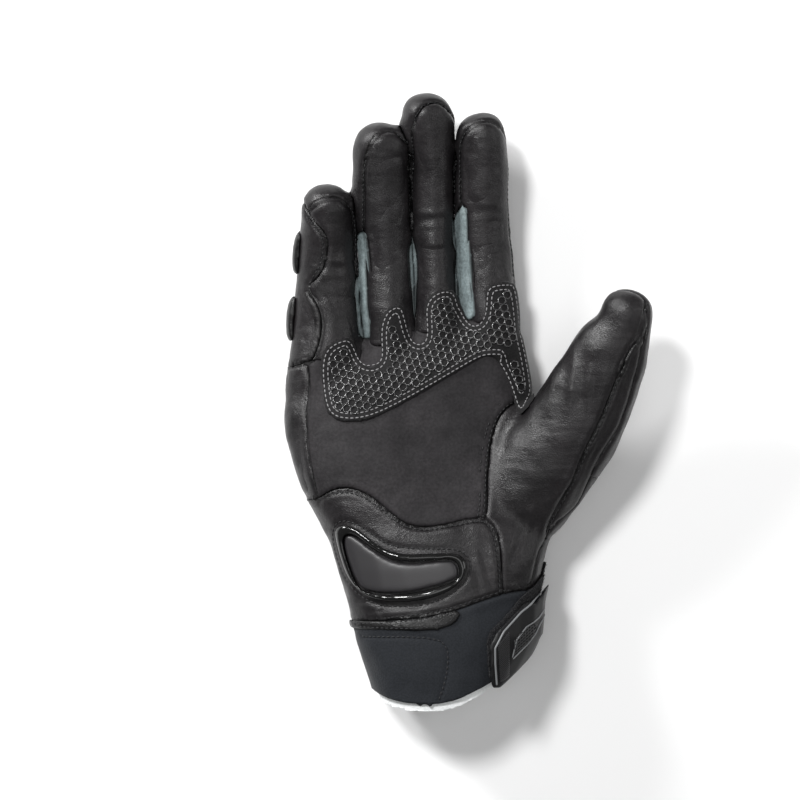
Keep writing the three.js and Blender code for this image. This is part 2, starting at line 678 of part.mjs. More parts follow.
function addLayers() {
  layOn("grip_patch", palmCutter(GRIP_OUTLINE, 0.3), SEAT_GAP, SEAT_GAP + GRIP_LAYER, GRIP_SILICONE);
  layOn("wrist_band", palmCutter(BAND_OUTLINE, 0.3), SEAT_GAP, SEAT_GAP + BAND_LAYER, BLACK_LEATHER);
  const stand = (outline, margin) =>
    prism(spread(curved(outline, true), margin), HAND_THICK / 2, SKY_HEIGHT);
  const frame = layer(SEAT_GAP, SEAT_GAP + SLIDER_FRAME).intersect(stand(SLIDER_OUTLINE, 0));
  add("slider_frame", frame.subtract(stand(INSERT_OUTLINE, 0)), GLOSS_PLASTIC);
  const insert = layer(SEAT_GAP, SEAT_GAP + SLIDER_INSERT);
  add("slider_insert", insert.intersect(stand(INSERT_OUTLINE, -SEAT_GAP)), MATTE_PLASTIC);
}

function addStrap() {
  const half = HAND_THICK / 2;
  const front = prism(STRAP_OUTLINE.map(point), half, SKY_HEIGHT);
  const back = prism(STRAP_BACK_OUTLINE.map(point), -SKY_HEIGHT, half);
  const web = layer(SEAT_GAP, SEAT_GAP + STRAP_LAYER);
  add("strap", web.intersect(front.add(back)), STRAP_WEB);
  const seat = SEAT_GAP + STRAP_LAYER + SEAT_GAP;
  const tab = prism(TAB_OUTLINE.map(point), half, SKY_HEIGHT);
  add("strap_tab", layer(seat, seat + TAB_LAYER).intersect(tab), TAB_RUBBER);
}

// The lining shows below the hem, and lines the cuff behind it.
function addLining() {
  const outer = -LEATHER - SEAT_GAP;
  const sleeve = hand(outer).subtract(hand(outer - LINING));
  const shown = sleeve.intersect(beyond(HEM_CURVE, -LINING_SHOWN));
  add("cuff_lining", shown.subtract(beyond(HEM_CURVE, LINING_DEPTH)), LINING_CLOTH);
}

// A pad is a low swelling on the outer side of the little finger.
function addPads() {
  PADS.forEach(({ from, to }, number) => {
    const rings = [];
    for (let i = 0; i <= LIMB_STEPS; i++) {
      const cut = section(LITTLE, from + ((to - from) * i) / LIMB_STEPS);
      const swell = SEAT_GAP + PAD_LAYER * Math.sqrt(Math.sin((Math.PI * i) / LIMB_STEPS));
      rings.push(oval(cut, cut.half + swell, cut.rise + swell, -swell));
    }
    const side = fingerCutter(LITTLE, from, to, (cut) => ({
      left: -cut.half - REACH / 4,
      right: -0.35 * cut.half,
      low: -cut.rise,
      high: 0.4 * cut.rise,
    }));
    const swelling = solid(loft(rings)).subtract(body(SEAT_GAP)).intersect(side(0));
    add(`knuckle_pad_${number + 1}`, swelling, BLACK_LEATHER);
  });
}

cutPanels();
addLayers();
addStrap();
addLining();
addPads();

// The origin is on the surface that the glove lies on, under the middle of its outline.
const box = new THREE.Box3().setFromObject(glove);
const middle = box.getCenter(new THREE.Vector3());
glove.position.set(-middle.x, -middle.y, -box.min.z);

export default glove;
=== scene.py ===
"""Dresses a right-hand motorcycle glove that lies on its back with the palm up.

X runs across the hand towards the thumb, Y along it towards the fingertips, and Z up out of the palm.
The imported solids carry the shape. Here one fine skin is drawn over them, smoothed like leather, and
parted again along the seams, and every layer, stitch and moulded part is laid on that skin.
"""

import json
import math

import bmesh
import bpy
import numpy as np
from bpy.props import FloatProperty, FloatVectorProperty, IntProperty, PointerProperty
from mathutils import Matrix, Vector, noise
from mathutils.bvhtree import BVHTree
from mathutils.kdtree import KDTree


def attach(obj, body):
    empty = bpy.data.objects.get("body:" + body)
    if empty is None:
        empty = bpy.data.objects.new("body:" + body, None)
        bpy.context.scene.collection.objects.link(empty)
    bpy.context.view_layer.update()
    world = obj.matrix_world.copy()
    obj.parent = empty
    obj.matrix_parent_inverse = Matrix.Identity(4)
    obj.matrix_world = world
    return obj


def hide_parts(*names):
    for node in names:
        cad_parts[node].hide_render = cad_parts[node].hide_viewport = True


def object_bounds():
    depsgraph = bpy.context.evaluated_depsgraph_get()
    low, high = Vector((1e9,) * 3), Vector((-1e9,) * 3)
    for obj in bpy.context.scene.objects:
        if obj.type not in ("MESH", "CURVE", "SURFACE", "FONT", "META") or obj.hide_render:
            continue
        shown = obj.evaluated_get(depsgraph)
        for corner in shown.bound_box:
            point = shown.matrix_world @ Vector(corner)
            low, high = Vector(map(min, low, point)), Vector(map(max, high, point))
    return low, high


bl_info = {
    "name": "Motorcycle glove",
    "version": (1, 0, 0),
    "blender": (4, 5, 0),
    "location": "3D View > Sidebar > Glove",
    "description": "Builds the leather, seams, layers and studio of a right-hand motorcycle glove",
    "category": "Object",
}

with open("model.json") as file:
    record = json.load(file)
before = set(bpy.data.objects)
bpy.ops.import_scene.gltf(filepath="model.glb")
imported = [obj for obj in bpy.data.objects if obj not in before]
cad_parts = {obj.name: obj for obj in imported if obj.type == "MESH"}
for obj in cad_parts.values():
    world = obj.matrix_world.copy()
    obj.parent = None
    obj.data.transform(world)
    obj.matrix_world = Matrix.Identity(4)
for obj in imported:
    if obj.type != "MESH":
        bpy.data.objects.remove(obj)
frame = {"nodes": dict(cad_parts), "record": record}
NODES = frame["nodes"]
CAD_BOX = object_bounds()

MM = 0.001
FINGERS = ("little", "ring", "middle", "index")
GUSSETS = tuple(sorted(name for name in NODES if name.startswith("gusset_")))
FRONTS = tuple(f"finger_front_{finger}" for finger in FINGERS)
BACKS = tuple(f"finger_back_{finger}" for finger in FINGERS)
PANELS = (
    "cuff", "little_finger_guard", "heel_panel", "edge_panel", "palm_panel", "thumb_panel",
    "thumb_strip", "thumb_back", "back_panel", *FRONTS, *BACKS, *GUSSETS,
)
SLOTS = {row["node"]: row["material_slot"] for row in frame["record"]["subparts"]}

# Corners this near each other are one, and nothing is divided by less than this
MERGE_GAP = 1e-6
TINY = 1e-12

# Rays fall onto the glove from this height, and a point that misses it gets this one
RAY_TOP = 0.2
MISSED = -1

# The share of the way to its neighbours' mean that a corner moves in one round of smoothing
FIRM = 0.8
GENTLE = 0.6

# How far panels are grown so that they close on each other; the broad ones have thin creases
BROAD = ("cuff", "heel_panel", "palm_panel", "thumb_panel", "thumb_back", "back_panel")
BROAD_GROW = 0.5 * MM
GROW = 0.18 * MM

# The crease that is plugged in the thumb panel: its place, the plug's depth and the plug's radius
CREASE_PLACE = (15.7 * MM, -44.9 * MM)
CREASE_DEPTH = 1.9 * MM
CREASE_RADIUS = 2.1 * MM

# The end wall of the hem, which is cut away: how far up it reaches, and how much it faces the wrist
HEM_REACH = 27 * MM
HEM_FACING = 0.62
HEM_ROUNDS = 30

# The lining is drawn inwards all over, and lowered at the hem so that it shows below the cuff
LINING_LIFT = -0.25 * MM
HEM_SHOW = 1.8 * MM
HEM_SHOW_REACH = 30 * MM

# The cuff's wall as a share of the leather's, so that it stays clear of the lining
CUFF_WALL = 0.55

# Rounds that clear stray faces, rounds that straighten a seam, and rings of faces that move with it
LONE_ROUNDS = 5
SEAM_ROUNDS = 40
SEAM_RINGS = 4

# Panels that are one piece of leather in the real glove, so no seam is drawn between them
UNSEWN = {
    *(frozenset(("palm_panel", f"finger_front_{finger}")) for finger in FINGERS),
    *(frozenset(("back_panel", f"finger_back_{finger}")) for finger in FINGERS),
    frozenset(("back_panel", "thumb_back")),
}

# Which panel lies over its neighbour where two meet: the higher number is on top
LAP = {"heel_panel": 3, "little_finger_guard": 3, "palm_panel": 2, "edge_panel": 2, "cuff": 0}
PLAIN_LAP = 1

# Rounds that even out how a layer moves with the skin, and how far the pads and the frame are grown
SHIFT_ROUNDS = 60
PAD_LIFT = 0.3 * MM
FRAME_EDGE = 0.15 * MM

# How far from a seam the leather swells, and how wide the swelling is
SWELL_PLACE = 2.2 * MM
SWELL_WIDTH = 1.4 * MM

# The groove under a row of dark stitches, how much lighter its painted shade is than a seam's, and how fine
# its line is
ROW_DEPTH = 0.45 * MM
ROW_WIDTH = 0.75 * MM
ROW_PAINTED_SHADE_OFFSET = 0.15 * MM
ROW_STEP = 0.5 * MM

# Rows of dark stitches: the panel that carries them, its neighbour, and how far from the seam
SEAM_ROWS = (
    ("heel_panel", "palm_panel", 1.5 * MM),
    ("heel_panel", "thumb_panel", 1.5 * MM),
    ("heel_panel", "cuff", 1.4 * MM),
    ("thumb_panel", "cuff", 1.4 * MM),
    ("palm_panel", "thumb_panel", 0.8 * MM),
    ("palm_panel", "thumb_panel", 3.0 * MM),
    ("little_finger_guard", "finger_front_little", 1.5 * MM),
    ("little_finger_guard", "edge_panel", 1.5 * MM),
    ("thumb_strip", "thumb_panel", 1.0 * MM),
    *((f"finger_back_{finger}", f"finger_front_{finger}", 0.9 * MM) for finger in FINGERS),
)

# The row of stitches round the slider, outside its frame
SLIDER_ROW = 1.8 * MM

# The row of stitches on the cuff, in pixels of the picture
NEOPRENE_ROW = (
    (362, 634.9), (368, 634.7), (400, 634), (436, 633), (444, 636), (448, 643), (448.7, 653), (447.3, 670),
    (443, 686.6), (438, 697),
)

# Side walls that lean over until neighbouring fingers touch: the panels that swell, the way they
# swell across the hand, the span along the hand between which they do so, and by how much
LEANING = (
    (("finger_back_index", "finger_front_index"), -1, 74 * MM, 118 * MM, 1.5 * MM),
    (("finger_back_middle", "finger_front_middle"), 1, 74 * MM, 118 * MM, 0.9 * MM),
    (("finger_back_middle", "finger_front_middle"), -1, 64 * MM, 112 * MM, 1.8 * MM),
    (("finger_back_ring", "finger_front_ring"), 1, 64 * MM, 112 * MM, 1.5 * MM),
    (("finger_back_ring", "gusset_ring_left"), -1, 30 * MM, 78 * MM, 1.3 * MM),
    (("finger_back_little", "gusset_little_right"), 1, 30 * MM, 80 * MM, 1.7 * MM),
)

# How steeply the swelling sets in as a side wall turns to its neighbour, and from which slant on
LEAN_GAIN = 1.3
LEAN_SLANT = 0.25
LEAN_ROUNDS = 6

# Folds in the leather, in pixels of the picture, each with its depth and half width
FOLDS = (
    (((580, 342), (582, 380), (577, 415)), 0.8 * MM, 2.4 * MM),
    (((566, 350), (563, 385), (556, 418)), 0.6 * MM, 2.2 * MM),
    (((594, 368), (592, 395), (585, 418)), 0.45 * MM, 2.0 * MM),
    (((528, 428), (520, 450), (518, 480)), 0.5 * MM, 3.0 * MM),
    (((469, 553), (478, 570), (481, 592)), 0.5 * MM, 1.5 * MM),
    (((480, 545), (490, 568), (491, 590)), 0.45 * MM, 1.7 * MM),
    (((350, 556), (353, 580), (364, 600)), 0.45 * MM, 1.6 * MM),
    (((526, 518), (515, 545), (512, 566)), 0.6 * MM, 1.8 * MM),
    (((541, 503), (529, 530), (524, 552)), 0.5 * MM, 1.8 * MM),
    (((296, 405), (295, 440), (303, 478)), 0.4 * MM, 2.4 * MM),
    (((367, 233), (385, 238), (403, 232)), 0.4 * MM, 1.5 * MM),
    (((372, 262), (386, 267), (402, 261)), 0.35 * MM, 1.4 * MM),
    (((414, 220), (432, 225), (449, 219)), 0.4 * MM, 1.5 * MM),
    (((417, 252), (433, 257), (449, 250)), 0.35 * MM, 1.4 * MM),
    (((469, 212), (487, 217), (504, 211)), 0.35 * MM, 1.5 * MM),
    (((480, 250), (492, 254), (506, 248)), 0.4 * MM, 1.4 * MM),
    (((322, 268), (334, 273), (348, 268)), 0.4 * MM, 1.5 * MM),
    (((368, 606), (374, 613), (377, 622)), 0.4 * MM, 1.0 * MM),
    (((352, 600), (366, 596), (384, 600)), 0.5 * MM, 1.3 * MM),
)

# How a fold runs out at its ends, and the swelling beside it, in half widths of the fold
FOLD_END = 0.15
FOLD_SWELL = 0.45
FOLD_SWELL_PLACE = 1.9
FOLD_SWELL_SPREAD = 0.6
FOLD_FACING = 1.6

# Low swells and dips of the leather, broad and fine: how many to the metre, and how high
BROAD_LUMPS = 55.0
BROAD_HEIGHT = 0.7
FINE_LUMPS = 140.0
FINE_HEIGHT = 0.3

# An outline is where a layer's faces turn up by this much, and its points lie this far apart
UPWARD = 0.12
RIM_STEP = 0.6 * MM

# A line moved inwards keeps the points that are nearly as far from the old one as they should be
MOVED_SHARE = 0.93

# The row of stitches on the wrist band, inside its edge
BAND_ROW = 1.2 * MM

# The grip patch: how its honeycomb is turned, its rows of stitches, and its margin without cells
HONEYCOMB_TURN = math.radians(-13)
PATCH_ROWS = (1.1 * MM, 2.9 * MM)
PATCH_PLAIN = 3.4 * MM

# As shares of the pitch: how clear of the margin a cell's middle is, and which corners are welded
CELL_CLEAR = 0.3
CELL_WELD = 0.05

# The side of a honeycomb ridge: how far in from the last line as a share of its width, and how high
RIDGE_STEPS = ((0.38, 0.95), (0.22, 0.0))
RIDGE_FOOT = 0.25 * MM
RIDGE_SINK = 0.15 * MM

# Lines and fields of the moulded tab, in pixels of the picture
TAB_RIM = ((495.5, 682), (493.7, 658), (492.8, 643), (495.9, 636), (524.9, 600), (534.3, 603.8), (545.5, 588))
CHANNEL_UPPER = ((511, 655), (511, 636.8), (528, 620.7), (532.5, 621.6), (537.9, 618), (545.8, 606))
CHANNEL_LOWER = ((511.5, 656.4), (530.7, 638.6), (534.3, 633), (538.8, 622.5), (545.7, 612.5))
RIBBED_STRIP = ((496.5, 641), (508.5, 627), (508.5, 674), (498.5, 680))
GRID_INSET = (
    (512.2, 638), (528, 622.6), (532.5, 623.2), (537, 620.5), (533.2, 632), (529.7, 637.6), (512.2, 654)
)

# Sets of straight lines across those fields, in pixels: one line's ends, the way to the next, how many
RIBS = ((490, 596), (514, 620), (0, 1.9), 50)
UPRIGHT_BARS = ((505, 600), (505, 665), (2.7, 0), 15)
SLANTED_BARS = ((505, 600), (545, 566), (0, 2.9), 35)

# Half widths of the raised lines on the tab, and how far apart the points of the short ones are
RIM_RADIUS = 0.42 * MM
CHANNEL_RADIUS = 0.3 * MM
RIB_RADIUS = 0.3 * MM
BAR_RADIUS = 0.28 * MM
LINE_STEP = 0.3 * MM

# Fibres of the strap: how clear of the tab they grow, how far round they do, the most there are
FUZZ_CLEAR = 0.5 * MM
FUZZ_FACING = -0.2
FUZZ_COUNT = 9000

# The size of a fibre, how deep its root is, and how it leans
FUZZ_LENGTH = 1.0 * MM
FUZZ_RADIUS = 0.09 * MM
FUZZ_ROOT = 0.1 * MM
FUZZ_LEAN = 0.75
FUZZ_SEED = 7

# The sides of a bead, and the share of its size that is left at its ends
BEAD_SIDES = 8
BEAD_END = 0.1

# A stitch's height and how far it stands up, as shares of the thread
THREAD_HEIGHT = 0.8
THREAD_LIFT = 0.1

# The picture is 800 by 800 pixels; these turn its pixels into metres on the glove
PIXEL = 0.41 * MM
PICTURE_MIDDLE = (466.63, 400.56)

# Soft lights: name, place, what each points at, width in metres, and watts
LIGHTS = (
    ("key", (-0.5, 0.62, 1.25), (0, 0.02, 0), 0.3, 17),
    ("low", (-1.0, 0.85, 0.6), (0, 0, 0), 0.35, 19),
    ("over", (0.15, -0.1, 1.7), (0, 0, 0), 1.0, 5.0),
    ("side", (0.95, 0.2, 0.7), (0, 0, 0), 0.6, 2.5),
)

# The light of the surroundings, the camera above the palm, and half the width of the floor
WORLD_STRENGTH = 0.2
CAMERA_PLACE = (-0.02732, 0.00023, 1.6)
CAMERA_LENS = 172.9
FLOOR_REACH = 4


def distance(name, description, value):
    return FloatProperty(name=name, description=description, default=value * MM, unit="LENGTH")


def colour(name, description, value):
    return FloatVectorProperty(
        name=name, description=description, default=value, subtype="COLOR", size=3, min=0, max=1
    )


class GloveSizes(bpy.types.PropertyGroup):
    """Sizes of the leather, seams and layers."""

    skin_step: distance("Skin step", "Spacing of the fine skin", 0.95)
    layer_step: distance("Layer step", "Spacing of the layers' meshes", 0.7)
    leather_wall: distance("Leather wall", "Thickness of each panel", 1.4)
    smoothing: IntProperty(
        name="Smoothing", description="Rounds that take the facets out of the skin", default=36
    )
    seam_depth: distance("Seam depth", "How deep a seam is drawn in", 0.4)
    seam_width: distance("Seam width", "Half width of a drawn seam", 0.9)
    puff: distance("Puff", "How far leather swells beside a seam", 0.22)
    lap: distance("Lap", "Step where one panel lies over another", 0.4)
    stitch_pitch: distance("Stitch pitch", "From one stitch to the next", 2.1)
    stitch_length: distance("Stitch length", "Thread seen in each stitch", 1.55)
    thread: distance("Thread", "Thickness of the thread", 0.55)
    cell_pitch: distance("Honeycomb pitch", "From one cell to the next", 3.15)
    ridge_width: distance("Ridge width", "Width of a honeycomb ridge", 0.8)
    ridge_height: distance("Ridge height", "Height of a honeycomb ridge", 0.7)


class GloveColours(bpy.types.PropertyGroup):
    """Colours of the leather, threads and moulded parts."""

    black: colour("Black leather", "Smooth leather of the panels", (0.0070, 0.0063, 0.0069))
    palm: colour("Palm leather", "Matt leather of the palm", (0.0135, 0.0125, 0.0135))
    grey: colour("Grey leather", "Side walls between the fingers", (0.105, 0.13, 0.134))
    grip: colour("Grip", "Raised silicone print", (0.024, 0.023, 0.024))
    neoprene: colour("Neoprene", "Knit face of the cuff", (0.008, 0.0095, 0.012))
    lining: colour("Lining", "Knitted cloth at the hem", (0.82, 0.84, 0.84))
    gloss: colour("Gloss plastic", "Frame of the slider", (0.004, 0.004, 0.004))
    matt: colour("Matt plastic", "Insert of the slider", (0.017, 0.016, 0.0175))
    tape: colour("Loop tape", "Fuzzy closure strap", (0.005, 0.005, 0.006))
    rubber: colour("Tab rubber", "Moulded pull tab", (0.004, 0.004, 0.0045))
    rim: colour("Rim line", "Pale lines on the tab", (0.15, 0.155, 0.16))
    thread_pale: colour("Pale thread", "Contrast stitches of the grip patch", (0.22, 0.215, 0.22))
    thread_dark: colour("Dark thread", "All other stitches", (0.006, 0.006, 0.007))


def colours():
    return bpy.context.scene.glove_colours


# Meshes as arrays


def mesh_of(bm, name):
    """A mesh from a bmesh that is no longer needed."""
    mesh = bpy.data.meshes.new(name)
    bm.to_mesh(mesh)
    bm.free()
    return mesh


def placed(name, data):
    """An object in the scene for a mesh, a light or the camera."""
    thing = bpy.data.objects.new(name, data)
    bpy.context.scene.collection.objects.link(thing)
    return thing


def solid_of(name):
    """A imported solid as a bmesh, with its loose triangles joined up."""
    bm = bmesh.new()
    bm.from_mesh(NODES[name].data)
    bmesh.ops.remove_doubles(bm, verts=bm.verts, dist=MERGE_GAP)
    bm.normal_update()
    return bm


def grown_copy(name, grow=0.0):
    """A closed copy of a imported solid, with every corner moved outwards."""
    bm = solid_of(name)
    for vert in bm.verts:
        vert.co += vert.normal * grow
    return mesh_of(bm, name + "_copy")


def fine_mesh(meshes, step):
    """One even mesh of small squares round everything that the given meshes fill."""
    bm = bmesh.new()
    for mesh in meshes:
        bm.from_mesh(mesh)
        bpy.data.meshes.remove(mesh)
    joined = mesh_of(bm, "joined")
    piece = placed("joined", joined)
    remesh = piece.modifiers.new("fine", "REMESH")
    remesh.mode = "VOXEL"
    remesh.voxel_size = step
    graph = bpy.context.evaluated_depsgraph_get()
    mesh = bpy.data.meshes.new_from_object(piece.evaluated_get(graph))
    bpy.data.objects.remove(piece)
    bpy.data.meshes.remove(joined)
    corners = np.empty(len(mesh.vertices) * 3)
    mesh.vertices.foreach_get("co", corners)
    loops = np.empty(len(mesh.loops), int)
    mesh.loops.foreach_get("vertex_index", loops)
    bpy.data.meshes.remove(mesh)
    return corners.reshape(-1, 3), loops.reshape(-1, 4)


def edges_of(faces):
    """Each edge once, and for each side of each face the number of its edge."""
    ends = np.stack([faces, np.roll(faces, -1, axis=1)], axis=2).reshape(-1, 2)
    ends.sort(axis=1)
    edges, number = np.unique(ends, axis=0, return_inverse=True)
    return edges, number.reshape(faces.shape)


def neighbour_mean(values, edges):
    """For each corner the mean value of the corners that it shares an edge with."""
    count = len(values)
    total = np.zeros_like(values)
    for near, far in ((0, 1), (1, 0)):
        for k in range(values.shape[1]):
            total[:, k] += np.bincount(edges[:, near], values[edges[:, far], k], count)
    degree = np.bincount(edges.ravel(), minlength=count)
    return total / np.maximum(degree, 1)[:, None]


def unit(vectors):
    return vectors / np.maximum(np.linalg.norm(vectors, axis=-1), TINY)[..., None]


def face_turns(corners, faces):
    """A vector out of each square face, twice as long as its area."""
    a, b, c, d = (corners[faces[:, k]] for k in range(4))
    return np.cross(c - a, d - b)


def normals_of(corners, faces):
    turns = face_turns(corners, faces)
    normals = np.zeros_like(corners)
    for side in range(4):
        for k in range(3):
            normals[:, k] += np.bincount(faces[:, side], turns[:, k], len(corners))
    return unit(normals)


def smoothed(values, edges, rounds, share, held=None):
    """Values evened out over the mesh, apart from the corners that are held."""
    for _ in range(rounds):
        moved = values + share * (neighbour_mean(values, edges) - values)
        if held is not None:
            moved[held] = values[held]
        values = moved
    return values


def tree_of(corners, faces):
    return BVHTree.FromPolygons(corners.tolist(), faces.tolist())


def near_tree(points):
    """A tree that finds the nearest of some points."""
    tree = KDTree(len(points))
    for i, point in enumerate(points.tolist()):
        tree.insert(point, i)
    tree.balance()
    return tree


def gaps_to(tree, points):
    return np.array([tree.find(p)[2] for p in points.tolist()])


def mesh_piece(name, corners, faces, attributes=None):
    """An object from arrays, smooth shaded, with named numbers on its corners."""
    mesh = bpy.data.meshes.new(name)
    mesh.vertices.add(len(corners))
    mesh.vertices.foreach_set("co", np.asarray(corners, float).ravel())
    faces = np.asarray(faces, int)
    mesh.loops.add(faces.size)
    mesh.loops.foreach_set("vertex_index", faces.ravel())
    mesh.polygons.add(len(faces))
    mesh.polygons.foreach_set("loop_start", np.arange(len(faces)) * faces.shape[1])
    mesh.update(calc_edges=True)
    mesh.validate()
    mesh.shade_smooth()
    for label, values in (attributes or {}).items():
        mesh.attributes.new(label, "FLOAT", "POINT").data.foreach_set("value", values)
    return placed(name, mesh)


def settle(piece, material, slot, replaced=()):
    """Gives a finished piece its material, hangs it on the root and hides the solids it replaces."""
    piece.data.materials.append(material)
    if replaced:
        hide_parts(*replaced)
    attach(piece, "root")
    return piece


def wall(piece, thickness):
    solidify = piece.modifiers.new("wall", "SOLIDIFY")
    solidify.thickness = thickness
    solidify.offset = -1
    return piece


def crease_plug():
    """A small ball inside the thumb panel, where the leather is thin in a crease."""
    x, y = CREASE_PLACE
    tree = BVHTree.FromObject(NODES["thumb_panel"], bpy.context.evaluated_depsgraph_get())
    top = tree.ray_cast(Vector((x, y, RAY_TOP)), Vector((0, 0, -1)))[0].z
    bm = bmesh.new()
    bmesh.ops.create_icosphere(bm, subdivisions=2, radius=CREASE_RADIUS)
    bmesh.ops.translate(bm, verts=bm.verts, vec=(x, y, top - CREASE_DEPTH))
    return mesh_of(bm, "plug")


def islands(count, edges):
    """For each corner the lowest number among the corners that it hangs together with."""
    group = np.arange(count)
    while True:
        low = np.minimum(group[edges[:, 0]], group[edges[:, 1]])
        joined = group.copy()
        np.minimum.at(joined, edges[:, 0], low)
        np.minimum.at(joined, edges[:, 1], low)
        joined = joined[joined]
        if (joined == group).all():
            return group
        group = joined


def outer_sheet(corners, faces):
    """Cuts the hem's end wall away and keeps the sheet that faces outwards."""
    turns = unit(face_turns(corners, faces))
    low = corners[faces[:, 0], 1] < CAD_BOX[0][1] + HEM_REACH
    faces = faces[~((turns[:, 1] < -HEM_FACING) & low)]
    group = islands(len(corners), edges_of(faces)[0])
    faces = faces[group[faces[:, 0]] == group[corners[:, 2].argmax()]]
    used, renumbered = np.unique(faces, return_inverse=True)
    return corners[used], renumbered.reshape(faces.shape)


# The leather skin


class Skin:
    """The whole outside of the glove as one fine mesh that knows which panel each face is."""

    def __init__(self, sizes):
        self.sizes = sizes
        copies = [grown_copy(name, BROAD_GROW if name in BROAD else GROW) for name in PANELS]
        copies.append(crease_plug())
        self.start, self.faces = outer_sheet(*fine_mesh(copies, sizes.skin_step))
        self.edges, self.sides = edges_of(self.faces)
        self.soften()
        self.pair_faces()
        self.label_faces()
        self.relax_seams()
        self.shift = self.corners - self.start
        self.near_start = near_tree(self.start)
        self.measure_seams()

    def soften(self):
        """Takes the facets out without shrinking the fingers."""
        rim = self.edges[np.bincount(self.sides.ravel()) == 1]
        self.hem = np.zeros(len(self.start), bool)
        self.hem[rim.ravel()] = True
        self.even_hem(rim)
        rounds = self.sizes.smoothing
        even = smoothed(self.start, self.edges, rounds, FIRM, self.hem)
        self.normals = normals_of(even, self.faces)
        lost = ((self.start - even) * self.normals).sum(axis=1, keepdims=True)
        lost = smoothed(lost, self.edges, 2 * rounds, FIRM)
        self.corners = even + lost * self.normals - GROW * self.normals

    def even_hem(self, rim):
        """Evens the steps out of the open edge at the wrist."""
        for _ in range(HEM_ROUNDS):
            mean = neighbour_mean(self.start, rim)
            self.start[self.hem] += GENTLE * (mean - self.start)[self.hem]

    def pair_faces(self):
        """Finds the two faces beside each edge, with -1 where there is only one."""
        owner = np.repeat(np.arange(len(self.faces)), 4)
        number = self.sides.ravel()
        order = np.argsort(number, kind="stable")
        number, owner = number[order], owner[order]
        lead = np.ones(len(number), bool)
        lead[1:] = number[1:] != number[:-1]
        self.pair = np.full((len(self.edges), 2), -1)
        self.pair[number[lead], 0] = owner[lead]
        self.pair[number[~lead], 1] = owner[~lead]

    def label_faces(self):
        """Gives each face the number of the panel whose solid is nearest to it."""
        centres = self.start[self.faces].mean(axis=1)
        corners, triangles, owner = [], [], []
        offset = 0
        for number, name in enumerate(PANELS):
            mesh = NODES[name].data
            mesh.calc_loop_triangles()
            corners += [v.co[:] for v in mesh.vertices]
            triangles += [[offset + i for i in t.vertices] for t in mesh.loop_triangles]
            owner += [number] * len(mesh.loop_triangles)
            offset += len(mesh.vertices)
        tree = BVHTree.FromPolygons(corners, triangles)
        self.label = np.array([owner[tree.find_nearest(c)[2]] for c in centres.tolist()])
        for _ in range(LONE_ROUNDS):
            self.drop_lone_faces()

    def drop_lone_faces(self):
        """A face whose neighbours nearly all belong to one other panel joins that panel."""
        first, second = self.pair[self.sides].transpose(2, 0, 1)
        beside = np.where(first == np.arange(len(self.faces))[:, None], second, first)
        labels = np.where(beside >= 0, self.label[beside], self.label[:, None])
        labels.sort(axis=1)
        for a, b in ((0, 2), (1, 3)):
            same = labels[:, a] == labels[:, b]
            self.label[same] = labels[same, a]

    def relax_seams(self):
        """Draws each seam into a smooth line and evens the mesh beside it."""
        marks = np.sort(self.label[self.pair], axis=1)
        on_seam = (self.pair >= 0).all(axis=1) & (marks[:, 0] != marks[:, 1])
        self.seam = self.edges[on_seam]
        self.seam_marks = marks[on_seam]
        degree = np.bincount(self.seam.ravel(), minlength=len(self.corners))
        free_line = (degree == 2) & ~self.hem
        near = degree > 0
        for _ in range(SEAM_RINGS):
            near[self.edges[near[self.edges].any(axis=1)].ravel()] = True
        near &= (degree == 0) & ~self.hem
        for _ in range(SEAM_ROUNDS):
            mean = neighbour_mean(self.corners, self.seam)
            self.corners[free_line] += GENTLE * (mean - self.corners)[free_line]
            drift = neighbour_mean(self.corners, self.edges) - self.corners
            drift -= (drift * self.normals).sum(axis=1, keepdims=True) * self.normals
            self.corners[near] += GENTLE * drift[near]

    def measure_seams(self):
        """How far each corner is from the nearest sewn seam."""
        sewn = [frozenset((PANELS[a], PANELS[b])) not in UNSEWN for a, b in self.seam_marks]
        ends = self.corners[self.seam[sewn]]
        points = np.concatenate([ends[:, 0], ends.mean(axis=1)])
        self.gap = gaps_to(near_tree(points), self.corners)

    def row_beside(self, one, other, away):
        """The seam between two panels, moved onto the first panel by a distance."""
        mine = self.faces[self.label == PANELS.index(one)]
        tree = near_tree(self.corners[mine].mean(axis=1))
        for run in self.seam_runs(one, other):
            line = even_line(run, ROW_STEP, 6)
            if len(line) < 8:
                continue
            ahead = unit(np.gradient(line, axis=0))
            up = np.array([self.tree.find_nearest(p)[1] for p in line.tolist()])
            beside = np.cross(up, ahead)
            towards = np.array([tree.find(p)[0] for p in line.tolist()]) - line
            if (beside * towards).sum() < 0:
                beside = -beside
            yield self.settled(line + away * unit(beside))

    def settled(self, points):
        """Points moved to the nearest place on the skin."""
        return np.array([self.tree.find_nearest(p)[0] for p in points.tolist()])

    def finish(self):
        """Works out the normals and the lookup tree after the skin has been pressed."""
        self.normals = normals_of(self.corners, self.faces)
        self.tree = tree_of(self.corners, self.faces)

    def seam_runs(self, one, other):
        """The lines along which two panels meet, as arrays of corners."""
        pair = sorted((PANELS.index(one), PANELS.index(other)))
        rows = (self.seam_marks == pair).all(axis=1)
        return [self.corners[run] for run in chained(self.seam[rows]) if len(run) > 3]

    def carry(self, points):
        """Moves points as the skin under them moved when it was softened."""
        near = np.array([self.near_start.find(p)[1] for p in points.tolist()])
        return self.shift[near]


